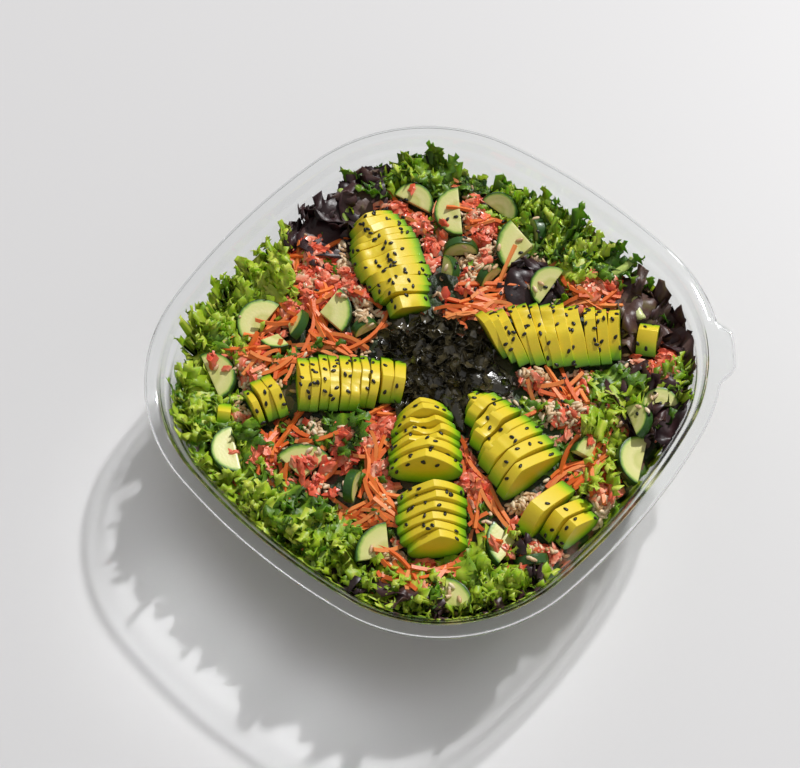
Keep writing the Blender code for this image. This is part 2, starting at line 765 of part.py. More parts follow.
def scatter(patches, spread, per_patch, make, tree, keep_out, collection, draw):
    """Lay small pieces round the centres of their patches, clear of toppings and tub."""
    laid = []
    for x, y in patches:
        done = 0
        for _ in range(per_patch * 12):
            if done == per_patch:
                break
            spot = Vector((draw.gauss(x, spread), draw.gauss(y, spread), 0)) * MM
            place, normal, _, _ = tree.ray_cast(spot + Vector((0, 0, 2 * HEIGHT)), Vector((0, 0, -1)))
            piece = make(draw)
            turn = draw.uniform(0, 2 * math.pi)
            if place is None or normal.z < 0.8:
                bpy.data.objects.remove(piece)
                continue
            lay_on(piece, place, normal, turn, piece["sink"])
            if keep_out.holds(piece) or not fits_tub(piece, 2 * GAP):
                bpy.data.objects.remove(piece)
                continue
            laid.append(piece)
            done += 1
    return laid


def sunk(piece, depth):
    """Note how deep a small piece is sunk in what it lies on."""
    piece["sink"] = depth
    return piece


def dress_salad(core, tree, keep_out, collection, draw):
    """Fuse the leaves, stems, carrot, crab and rice that show to the salad's core."""

    def carrot(draw):
        length = draw.uniform(16, 34) * MM
        bend = draw.uniform(-2.5, 2.5) * MM
        strip = build_strip("carrot", length, CARROT_WIDTH, CARROT_THICKNESS, bend, collection)
        return sunk(strip, -draw.uniform(0.0, 0.5) * MM)

    def crab(draw):
        return sunk(build_lump("crab", draw.uniform(4.5, 7.0) * MM, collection, draw), -1.0 * MM)

    def shred(draw):
        strip = build_strip("shred", draw.uniform(10, 18) * MM, CRAB_WIDTH, 2.2 * MM, 1.2 * MM, collection)
        return sunk(strip, -draw.uniform(0.2, 1.5) * MM)

    def grain(draw):
        spindle = build_spindle("grain", RICE_LENGTH, RICE_WIDTH, RICE_WIDTH, collection)
        return sunk(spindle, -draw.uniform(0.1, 0.7) * MM)

    kept = []
    for leaf in LEAVES:
        kept += fitted(leaf, build_leaf, tree, keep_out, collection)
    for stem in STEMS:
        kept += fitted(stem, build_stem, tree, keep_out, collection)
    kept += scatter(CRAB_PATCHES, 6.0, 1, crab, tree, keep_out, collection, draw)
    kept += scatter(CRAB_PATCHES[::2], 7.0, 1, shred, tree, keep_out, collection, draw)
    kept += scatter(CARROT_PATCHES, 7.0, 2, carrot, tree, keep_out, collection, draw)
    kept += scatter(RICE_PATCHES, 6.5, 2, grain, tree, keep_out, collection, draw)
    combine(core, kept, "UNION", "MANIFOLD")


def nori_reach(angle):
    """How far the nori heap spreads in a direction, between the avocados."""
    reach = NORI_REACH
    for lobe, extra, width in ((25, 14, 20), (190, 11, 26), (332, 13, 14)):
        away = (math.degrees(angle) - lobe + 180) % 360 - 180
        reach += extra * MM * math.exp(-((away / width) ** 2))
    return reach


def build_heap(name, extra, tree, collection):
    """The nori heap before its strips, or with an extra margin the space that it needs."""
    draw = random.Random(SEED)
    plan = [2 * math.pi * step / NORI_POINTS for step in range(NORI_POINTS)]
    rings = []
    for share, rise in ((1.0, 1.5), (0.78, 4.5), (0.52, 7.0), (0.24, 8.5)):
        ring = []
        for angle in plan:
            reach = (nori_reach(angle) + extra) * share
            x, y = NORI_X + reach * math.cos(angle), NORI_Y + reach * math.sin(angle)
            crumple = draw.uniform(-1, 1) * NORI_CRUMPLE
            ring.append(Vector((x, y, height_at(tree, x, y) + rise * MM + crumple + extra)))
        rings.append(ring)
    base = min(point.z for point in rings[0]) - NORI_DEPTH - 2 * extra
    foot = [Vector((point.x, point.y, base)) for point in rings[0]]
    points = [point for ring in [foot] + rings for point in ring]
    return new_object(name, points, skin_faces(1 + len(rings), NORI_POINTS), collection)


def build_nori(beds, tree, keep_out, collection, draw):
    """A low crumpled heap of nori between the avocados, with loose strips on it."""
    heap = build_heap("nori", 0.0, tree, collection)
    space = build_heap("nori_bed", 2 * GAP, tree, collection)
    copies = []
    for bed in beds:
        copy = bpy.data.objects.new(bed.name + "_copy", bed.data.copy())
        collection.objects.link(copy)
        copies.append(copy)
    combine(heap, copies, "DIFFERENCE", "MANIFOLD")
    heap_tree = tree_of(heap)
    strips = []
    for _ in range(NORI_STRIPS * 8):
        if len(strips) == NORI_STRIPS:
            break
        angle = draw.uniform(0, 2 * math.pi)
        reach = nori_reach(angle) * math.sqrt(draw.uniform(0, 0.8))
        spot = Vector((NORI_X + reach * math.cos(angle), NORI_Y + reach * math.sin(angle), 2 * HEIGHT))
        place, normal, _, _ = heap_tree.ray_cast(spot, Vector((0, 0, -1)))
        if place is None:
            continue
        length = draw.uniform(10, 20) * MM
        strip = build_strip("strip", length, NORI_WIDTH, NORI_THICKNESS, 2.4 * MM, collection)
        tipped = (normal + Vector((draw.uniform(-1, 1), draw.uniform(-1, 1), 0)) * 0.35).normalized()
        lay_on(strip, place, tipped, draw.uniform(0, 2 * math.pi), -0.2 * MM)
        if keep_out.holds(strip):
            bpy.data.objects.remove(strip)
            continue
        strips.append(strip)
    combine(heap, strips, "UNION", "MANIFOLD")
    return heap, space


def main():
    """Build the bowl, the salad and its toppings."""
    for item in list(bpy.data.objects):
        bpy.data.objects.remove(item)
    bowl = bpy.data.collections.new("poke_bowl")
    bpy.context.scene.collection.children.link(bowl)
    draw = random.Random(SEED)

    build_tub(bowl)
    core = build_salad_core(bowl)
    tree = tree_of(core)
    skin = material("cucumber", (0.55, 0.62, 0.30), 0.35)

    keep_out = KeepOut()
    beds = []
    avocados = []
    for row in AVOCADOS:
        body = build_avocado(row, tree, bowl, draw)
        avocados.append((row, body))
        beds.append(keep_out.add(body, 2 * GAP, bowl))
    for number, cut in enumerate(CUCUMBERS, start=1):
        piece = build_cucumber(number, cut, tree, bowl, skin)
        bpy.data.objects.remove(keep_out.add(piece, 2 * GAP, bowl))
    nori, space = build_nori(beds, tree, keep_out, bowl, draw)
    bpy.data.objects.remove(keep_out.add(nori, 2 * GAP, bowl))
    combine(core, beds + [space], "DIFFERENCE", "MANIFOLD")

    for row, body in avocados:
        add_sesame(body, row.sesame, bowl, draw)
        give_material(body, material(row.name, (0.62, 0.56, 0.10), 0.4))
    dress_salad(core, tree_of(core), keep_out, bowl, draw)
    give_material(core, material("salad", (0.13, 0.24, 0.04), 0.45))
    give_material(nori, material("nori", (0.012, 0.016, 0.010), 0.35))


main()
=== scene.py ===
"""A poke bowl: a clear tub of tossed salad under sliced avocado, cucumber, nori and sesame.

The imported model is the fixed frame. Every node of it is replaced by a finer piece of the
same form, made here in metres, with +Z up and the tub's underside at the origin.
"""

import logging
import math
import random
from dataclasses import dataclass, field
from enum import Enum
from typing import Any, Optional, Sequence

import bmesh
import bpy
import numpy as np
from mathutils import Matrix, Vector, noise
from mathutils.bvhtree import BVHTree

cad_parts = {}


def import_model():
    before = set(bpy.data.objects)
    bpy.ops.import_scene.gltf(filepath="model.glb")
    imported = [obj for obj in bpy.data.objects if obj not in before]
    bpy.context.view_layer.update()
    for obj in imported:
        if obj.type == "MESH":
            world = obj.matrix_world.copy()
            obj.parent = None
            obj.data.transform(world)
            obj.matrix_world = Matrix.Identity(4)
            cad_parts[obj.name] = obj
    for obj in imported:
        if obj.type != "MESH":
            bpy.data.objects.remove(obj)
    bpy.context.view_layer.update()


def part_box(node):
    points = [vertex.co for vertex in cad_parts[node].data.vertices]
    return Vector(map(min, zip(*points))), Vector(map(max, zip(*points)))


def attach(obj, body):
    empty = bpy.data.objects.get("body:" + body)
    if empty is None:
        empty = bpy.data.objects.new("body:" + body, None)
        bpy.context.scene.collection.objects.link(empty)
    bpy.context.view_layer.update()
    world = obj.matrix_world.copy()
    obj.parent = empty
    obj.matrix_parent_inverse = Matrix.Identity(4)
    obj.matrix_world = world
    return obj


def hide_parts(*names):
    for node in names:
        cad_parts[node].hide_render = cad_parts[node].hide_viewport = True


LOG = logging.getLogger("poke_bowl")
MM = 0.001
SEED = 11

# A height above everything in the bowl, from which places are looked for
DROP_FROM = 0.3

# A loose piece is left out where toppings cover more than this share of it, where the ground
# under it is less even than this, or where it comes nearer than this to a topping or the wall
COVERED = 0.3
BRIDGED = 5 * MM
CLEAR = 0.3 * MM

# A loose piece tilts with the ground up to this slope
STEEPEST = 0.7

# Tilt of a cucumber piece that stands on its edge, in degrees
UPRIGHT = 78

# How far a patch that is placed at the rim's height moves on the lower salad, in millimetres
SEEN_SHIFT = (-2.9, 2.9)


class Slot(Enum):
    """Names for the materials of the bowl's parts."""

    TUB = "clear_plastic"
    SALAD = "salad"
    NORI = "nori"
    AVOCADO = "avocado"
    CUCUMBER = "cucumber"


class Kind(Enum):
    """Kinds of small pieces that are tossed into the salad."""

    RICE = "rice"
    CRAB = "crab"
    CARROT = "carrot"


class Cut(Enum):
    """How much of a cucumber round a piece is, in degrees."""

    HALF = 180
    QUARTER = 95


# Shaders and finishes


class Socket:
    """A value in a shader, on which Python's operators add Math nodes."""

    def __init__(self, shader: "Shader", link: Any) -> None:
        """Wrap an output of a node."""
        self.shader = shader
        self.link = link

    def math(self, operation: str, *values: Any) -> "Socket":
        """Add a Math node.

        Args:
            operation: The node's operation.
            values: Its inputs, numbers or sockets.

        Returns:
            The node's result.
        """
        inputs = dict(enumerate(values))
        return self.shader.node("ShaderNodeMath", {"operation": operation}, inputs)

    def __add__(self, other: Any) -> "Socket":
        """Sum."""
        return self.math("ADD", self, other)

    def __radd__(self, other: Any) -> "Socket":
        """Sum with a number on the left."""
        return self.math("ADD", other, self)

    def __sub__(self, other: Any) -> "Socket":
        """Difference."""
        return self.math("SUBTRACT", self, other)

    def __rsub__(self, other: Any) -> "Socket":
        """Difference from a number on the left."""
        return self.math("SUBTRACT", other, self)

    def __mul__(self, other: Any) -> "Socket":
        """Product."""
        return self.math("MULTIPLY", self, other)

    def __rmul__(self, other: Any) -> "Socket":
        """Product with a number on the left."""
        return self.math("MULTIPLY", other, self)


class Shader:
    """A material's node tree."""

    def __init__(self, name: str) -> None:
        """Start an empty material."""
        self.material = bpy.data.materials.new(name)
        self.material.use_nodes = True
        self.tree = self.material.node_tree
        self.tree.nodes.clear()

    def node(self, kind: str, settings: dict, inputs: dict, output: Any = 0) -> Optional[Socket]:
        """Add a node.

        Args:
            kind: The node's type.
            settings: Its properties; "stops" are a colour ramp's positions and colours.
            inputs: Values or sockets by input name or number.
            output: Name or number of the output that is returned.

        Returns:
            The chosen output, or None from a node that has none.
        """
        made = self.tree.nodes.new(kind)
        for key, value in settings.items():
            if key == "stops":
                ramp = made.color_ramp
                while len(ramp.elements) < len(value):
                    ramp.elements.new(1.0)
                for element, (place, colour) in zip(ramp.elements, value):
                    element.position = place
                    element.color = (*colour, 1.0)
            else:
                setattr(made, key, value)
        for key, value in inputs.items():
            if isinstance(value, Socket):
                self.tree.links.new(value.link, made.inputs[key])
            else:
                made.inputs[key].default_value = value
        return Socket(self, made.outputs[output]) if made.outputs else None

    def place(self) -> Socket:
        """Object coordinates."""
        return self.node("ShaderNodeTexCoord", {}, {}, "Object")

    def value(self, name: str) -> Socket:
        """A value that the mesh carries at its points."""
        return self.node("ShaderNodeAttribute", {"attribute_name": name}, {}, "Fac")

    def noise(self, scale: float, detail: float = 3.0, distortion: float = 0.0) -> Socket:
        """Noise on Object coordinates, from 0 to 1."""
        inputs = {"Vector": self.place(), "Scale": scale, "Detail": detail, "Distortion": distortion}
        return self.node("ShaderNodeTexNoise", {}, inputs, 0)

    def ramp(self, value: Socket, stops: Sequence[tuple]) -> Socket:
        """A colour by a value."""
        return self.node("ShaderNodeValToRGB", {"stops": stops}, {"Fac": value}, "Color")

    def blend(self, share: Any, first: Any, second: Any) -> Socket:
        """Mix two colours by a share."""
        inputs = {0: share, 6: first, 7: second}
        return self.node("ShaderNodeMix", {"data_type": "RGBA"}, inputs, 2)

    def bump(self, height: Socket, strength: float, distance: float) -> Socket:
        """A bumped normal."""
        inputs = {"Height": height, "Strength": strength, "Distance": distance}
        return self.node("ShaderNodeBump", {}, inputs, "Normal")

    def surface(self, **inputs: Any) -> Socket:
        """A Principled surface; an underscore in an input's name stands for a space."""
        named = {key.replace("_", " "): value for key, value in inputs.items()}
        return self.node("ShaderNodeBsdfPrincipled", {}, named, "BSDF")

    def clear(self, tint: tuple) -> Socket:
        """A surface that lets light straight through, tinted."""
        return self.node("ShaderNodeBsdfTransparent", {}, {"Color": tint})

    def mix(self, share: Socket, first: Socket, second: Socket) -> Socket:
        """Mix two surfaces by a share."""
        return self.node("ShaderNodeMixShader", {}, {0: share, 1: first, 2: second})

    def finish(self, surface: Socket) -> bpy.types.Material:
        """Give the material its surface and return it."""
        self.node("ShaderNodeOutputMaterial", {}, {"Surface": surface})
        return self.material


@dataclass(frozen=True)
class Flesh:
    """A moist food surface whose colour runs over a ramp by a value on its points."""

    name: str
    stops: tuple
    value: str = "tone"
    mottle: float = 0.2
    mottle_scale: float = 180.0
    bump: float = 0.25
    bump_scale: float = 700.0
    bump_depth: float = 0.0004
    roughness: float = 0.4
    roughness_spread: float = 0.2
    coat: float = 0.0
    depths: tuple = (1.0, 0.5, 0.25)
    subsurface: float = 0.0

    def material(self) -> bpy.types.Material:
        """Build the material.

        Returns:
            The finished material.
        """
        shader = Shader(self.name)
        mottle = shader.noise(self.mottle_scale)
        tone = shader.value(self.value) + (mottle - 0.5) * (2 * self.mottle)
        grain = shader.noise(self.bump_scale, 2.0)
        rough = self.roughness + (grain - 0.5) * self.roughness_spread
        surface = shader.surface(
            Base_Color=shader.ramp(tone, self.stops),
            Roughness=rough,
            Normal=shader.bump(grain, self.bump, self.bump_depth),
            Coat_Weight=self.coat,
            Coat_Roughness=0.15,
            Subsurface_Weight=self.subsurface,
            Subsurface_Radius=self.depths,
            Subsurface_Scale=0.002,
        )
        return shader.finish(surface)


@dataclass(frozen=True)
class ClearSheet:
    """Clear moulded plastic sheet, which lets the light of lamps through."""

    name: str = "clear_plastic"
    tint: tuple = (0.96, 0.975, 0.975, 1.0)
    shadow_face_on: tuple = (0.93, 0.935, 0.935, 1.0)
    shadow_edge_on: tuple = (0.35, 0.35, 0.35, 1.0)
    roughness: float = 0.04
    ior: float = 1.46

    def material(self) -> bpy.types.Material:
        """Build the material.

        Returns:
            The finished material.
        """
        shader = Shader(self.name)
        waves = shader.noise(28.0, 2.0)
        sheet = shader.surface(
            Base_Color=self.tint,
            Roughness=self.roughness,
            IOR=self.ior,
            Transmission_Weight=1.0,
            Normal=shader.bump(waves, 0.12, 0.0015),
        )
        slant = shader.node("ShaderNodeLayerWeight", {}, {"Blend": 0.5}, "Facing")
        cast = shader.mix(slant, shader.clear(self.shadow_face_on), shader.clear(self.shadow_edge_on))
        shadow = shader.node("ShaderNodeLightPath", {}, {}, "Is Shadow Ray")
        return shader.finish(shader.mix(shadow, sheet, cast))


@dataclass(frozen=True)
class TossedBed:
    """The tossed salad between and under the loose pieces: patches of leaf, rice and shreds, with painted
    shade on its top.
    """

    name: str = "salad_bed"
    patch_scale: float = 150.0
    ragged: float = 0.012
    # Near-black green, blended in patches over the top as painted shade
    shaded: tuple = (0.012, 0.022, 0.006, 1.0)
    # The top's colours: patches of leaf, rice and shreds, darkened as painted shade for the gaps between
    # the loose pieces
    tossed: tuple = (
        (0.0, (0.008, 0.014, 0.004)),
        (0.35, (0.022, 0.045, 0.007)),
        (0.55, (0.05, 0.11, 0.012)),
        (0.68, (0.10, 0.06, 0.03)),
        (0.80, (0.14, 0.035, 0.018)),
        (0.90, (0.20, 0.13, 0.07)),
        (1.0, (0.05, 0.09, 0.012)),
    )
    pressed: tuple = (
        (0.0, (0.02, 0.06, 0.008)),
        (0.3, (0.06, 0.15, 0.015)),
        (0.5, (0.12, 0.23, 0.03)),
        (0.66, (0.20, 0.13, 0.07)),
        (0.80, (0.26, 0.09, 0.045)),
        (0.90, (0.34, 0.25, 0.14)),
        (1.0, (0.05, 0.03, 0.025)),
    )

    def material(self) -> bpy.types.Material:
        """Build the material, which is darker on top than where it is pressed to the wall, as painted shade
        for the gaps between the loose pieces.

        Returns:
            The finished material.
        """
        shader = Shader(self.name)
        away = shader.node("ShaderNodeTexNoise", {}, {"Vector": shader.place(), "Scale": 70.0}, 1)
        inputs = {0: away, 1: (self.ragged,) * 3, 2: shader.place()}
        shifted = shader.node("ShaderNodeVectorMath", {"operation": "MULTIPLY_ADD"}, inputs)
        inputs = {"Vector": shifted, "Scale": self.patch_scale}
        cells = shader.node("ShaderNodeTexVoronoi", {}, inputs, "Color")
        pick = shader.node("ShaderNodeSeparateColor", {}, {0: cells}, 0)
        # Painted shade on the top: its colours are blended in patches towards the near-black shaded green
        top = shader.blend(shader.noise(60.0) * 0.8, shader.ramp(pick, self.tossed), self.shaded)
        colour = shader.blend(shader.value("side"), top, shader.ramp(pick, self.pressed))
        normal = shader.bump(shader.noise(260.0, 4.0), 0.8, 0.002)
        return shader.finish(shader.surface(Base_Color=colour, Roughness=0.5, Normal=normal))


@dataclass(frozen=True)
class PaleFloor:
    """A plain pale studio floor."""

    colour: tuple = (0.72, 0.715, 0.725, 1.0)
    roughness: float = 0.55

    def material(self) -> bpy.types.Material:
        """Build the material.

        Returns:
            The finished material.
        """
        shader = Shader("floor")
        return shader.finish(shader.surface(Base_Color=self.colour, Roughness=self.roughness))


AVOCADO_FLESH = Flesh(
    "avocado",
    (
        (0.0, (0.05, 0.16, 0.004)),
        (0.12, (0.14, 0.35, 0.004)),
        (0.34, (0.29, 0.52, 0.006)),
        (0.58, (0.54, 0.60, 0.010)),
        (0.86, (0.75, 0.61, 0.020)),
        (1.0, (0.80, 0.61, 0.028)),
    ),
    value="depth",
    mottle=0.04,
    mottle_scale=90.0,
    bump=0.2,
    roughness=0.43,
    coat=0.06,
    subsurface=0.06,
)
CUCUMBER_FLESH = Flesh(
    "cucumber",
    (
        (0.0, (0.68, 0.64, 0.25)),
        (0.34, (0.57, 0.57, 0.17)),
        (0.52, (0.74, 0.70, 0.30)),
        (0.84, (0.66, 0.68, 0.23)),
        (0.925, (0.25, 0.43, 0.05)),
        (0.975, (0.022, 0.085, 0.008)),
    ),
    value="radial",
    mottle=0.05,
    mottle_scale=300.0,
    bump=0.3,
    roughness=0.42,
    coat=0.08,
    subsurface=0.05,
)
NORI_SHEET = Flesh(
    "nori",
    ((0.0, (0.011, 0.009, 0.004)), (0.6, (0.042, 0.035, 0.017)), (1.0, (0.115, 0.092, 0.044))),
    mottle=0.4,
    mottle_scale=300.0,
    bump=0.8,
    bump_scale=300.0,
    bump_depth=0.0014,
    roughness=0.20,
    roughness_spread=0.3,
    coat=1.0,
)
CRAB_MEAT = Flesh(
    "crab",
    (
        (0.0, (0.60, 0.045, 0.02)),
        (0.35, (0.80, 0.12, 0.055)),
        (0.7, (0.86, 0.25, 0.14)),
        (0.9, (0.86, 0.44, 0.29)),
        (1.0, (0.80, 0.58, 0.42)),
    ),
    mottle=0.25,
    mottle_scale=330.0,
    bump=0.6,
    roughness=0.38,
    coat=0.15,
)
CARROT_FLESH = Flesh(
    "carrot",
    ((0.0, (0.68, 0.10, 0.014)), (0.5, (0.86, 0.19, 0.030)), (1.0, (0.92, 0.34, 0.10))),
    mottle=0.25,
    bump=0.3,
    roughness=0.45,
    coat=0.04,
)
RICE_GRAIN = Flesh(
    "rice",
    ((0.0, (0.56, 0.33, 0.16)), (0.5, (0.78, 0.55, 0.33)), (1.0, (0.88, 0.72, 0.50))),
    mottle=0.15,
    bump=0.15,
    roughness=0.4,
)
FRILLED_LEAF = Flesh(
    "frilled_leaf",
    (
        (0.0, (0.024, 0.065, 0.004)),
        (0.3, (0.11, 0.23, 0.007)),
        (0.6, (0.34, 0.50, 0.016)),
        (1.0, (0.66, 0.74, 0.11)),
    ),
    mottle=0.22,
    mottle_scale=150.0,
    bump=0.5,
    bump_scale=420.0,
    roughness=0.46,
    subsurface=0.35,
    depths=(0.5, 1.0, 0.15),
)
RED_LEAF = Flesh(
    "red_leaf",
    (
        (0.0, (0.018, 0.007, 0.009)),
        (0.4, (0.05, 0.018, 0.020)),
        (0.7, (0.10, 0.05, 0.035)),
        (1.0, (0.24, 0.22, 0.07)),
    ),
    mottle=0.3,
    mottle_scale=120.0,
    bump=0.5,
    bump_scale=420.0,
    roughness=0.42,
)
STEM_FLESH = Flesh(
    "stem",
    ((0.0, (0.22, 0.36, 0.05)), (0.5, (0.46, 0.58, 0.13)), (1.0, (0.68, 0.72, 0.34))),
    mottle=0.15,
    bump=0.3,
    roughness=0.35,
    coat=0.15,
)
SESAME_SEED = Flesh(
    "sesame",
    ((0.0, (0.004, 0.004, 0.004)), (1.0, (0.022, 0.019, 0.016))),
    mottle=0.2,
    bump=0.2,
    roughness=0.34,
)


# Meshes


@dataclass
class Mesh:
    """Points, triangles and values of a piece before it becomes an object."""

    points: np.ndarray
    faces: np.ndarray
    values: dict = field(default_factory=dict)

    def moved(self, matrix: Matrix) -> "Mesh":
        """The mesh turned and moved by a matrix."""
        rows = np.array(matrix)
        return Mesh(self.points @ rows[:3, :3].T + rows[:3, 3], self.faces, self.values)


class Gathering:
    """Many small pieces of one kind, gathered in one mesh."""

    def __init__(self) -> None:
        """Start empty."""
        self.meshes: list = []

    def add(self, mesh: Mesh, **values: float) -> None:
        """Add a piece, with values that all its points carry."""
        even = {key: np.full(len(mesh.points), value) for key, value in values.items()}
        self.meshes.append(Mesh(mesh.points, mesh.faces, {**mesh.values, **even}))

    def joined(self) -> Mesh:
        """All pieces as one mesh.

        Returns:
            The joined points, triangles and values.
        """
        offsets = np.cumsum([0] + [len(mesh.points) for mesh in self.meshes[:-1]])
        faces = [mesh.faces + offset for mesh, offset in zip(self.meshes, offsets)]
        names = self.meshes[0].values
        values = {name: np.concatenate([mesh.values[name] for mesh in self.meshes]) for name in names}
        return Mesh(np.concatenate([mesh.points for mesh in self.meshes]), np.concatenate(faces), values)


def make_object(
    name: str, mesh: Mesh, finish: Any, nodes: Sequence[str]
) -> bpy.types.Object:
    """Turn a mesh into an object that rides on the root and stands for nodes.

    Args:
        name: The object's name.
        mesh: Its points, triangles and values.
        finish: What gives its material.
        nodes: The nodes that it replaces.

    Returns:
        The object.
    """
    data = bpy.data.meshes.new(name)
    data.from_pydata(mesh.points.tolist(), [], mesh.faces.tolist())
    for key, value in mesh.values.items():
        data.attributes.new(key, "FLOAT", "POINT").data.foreach_set("value", value.astype(np.float32))
    data.shade_smooth()
    data.update()
    made = bpy.data.objects.new(name, data)
    bpy.context.scene.collection.objects.link(made)
    dress(made, finish, nodes)
    return made


def dress(made: bpy.types.Object, finish: Any, nodes: Sequence[str]) -> None:
    """Give an object its finish, its body and the nodes that it replaces."""
    made.data.materials.clear()
    made.data.materials.append(finish if isinstance(finish, bpy.types.Material) else finish.material())
    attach(made, "root")
    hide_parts(*nodes)
    LOG.info("%s: %d faces", made.name, len(made.data.polygons))


def grid_faces(rows: int, columns: int, closed: bool = False) -> np.ndarray:
    """Triangles of a grid of points.

    Args:
        rows: How many rows of points.
        columns: How many points in a row.
        closed: Whether each row is a ring.

    Returns:
        The triangles.
    """
    steps = columns if closed else columns - 1
    row, step = np.meshgrid(np.arange(rows - 1), np.arange(steps), indexing="ij")
    a = (row * columns + step).ravel()
    b = (row * columns + (step + 1) % columns).ravel()
    return np.concatenate([np.stack([a, b, b + columns], 1), np.stack([a, b + columns, a + columns], 1)])


def grid_rim(rows: int, columns: int) -> np.ndarray:
    """Points round the border of a grid of points, in order."""
    index = np.arange(rows * columns).reshape(rows, columns)
    return np.concatenate([index[:, 0], index[-1, 1:], index[-2::-1, -1], index[0, -2:0:-1]])


def loft(rings: Sequence[np.ndarray], first: np.ndarray, last: np.ndarray) -> Mesh:
    """A closed mesh through rings of points, with a pole at each end.

    Args:
        rings: Rings of equal point counts.
        first: The pole before the first ring.
        last: The pole after the last ring.

    Returns:
        The mesh.
    """
    count = len(rings[0])
    points = np.concatenate([*rings, first[None], last[None]])
    faces = grid_faces(len(rings), count, closed=True)
    step = np.arange(count)
    after = (step + 1) % count
    end = (len(rings) - 1) * count
    low = np.stack([np.full(count, len(points) - 2), after, step], 1)
    high = np.stack([np.full(count, len(points) - 1), end + step, end + after], 1)
    return Mesh(points, np.concatenate([faces, low, high]))


def modelled(name: str, shape: Any) -> Mesh:
    """Read a modelled object as a mesh of triangles and remove it.

    Args:
        name: What the piece is, for the log.
        shape: The object that was modelled.

    Returns:
        Its mesh.
    """
    sheet = bmesh.new()
    sheet.from_mesh(shape.data)
    bmesh.ops.triangulate(sheet, faces=sheet.faces)
    points = np.array([vert.co[:] for vert in sheet.verts])
    faces = np.array([[vert.index for vert in face.verts] for face in sheet.faces])
    sheet.free()
    bpy.data.objects.remove(shape)
    LOG.debug("%s modelled", name)
    return Mesh(points, faces)


def in_order(faces: np.ndarray) -> np.ndarray:
    """Triangles sorted by their points, as those of a round primitive come mixed in each run."""
    return np.array(sorted(tuple(np.roll(face, -face.argmin())) for face in faces))


def deselect() -> None:
    """Deselect every object."""
    for item in bpy.context.selected_objects:
        item.select_set(False)


def crisp(made: bpy.types.Object, degrees: float) -> None:
    """Shade an object smooth but for edges sharper than an angle."""
    deselect()
    made.select_set(True)
    bpy.context.view_layer.objects.active = made
    bpy.ops.object.shade_smooth_by_angle(angle=math.radians(degrees))


# Tub


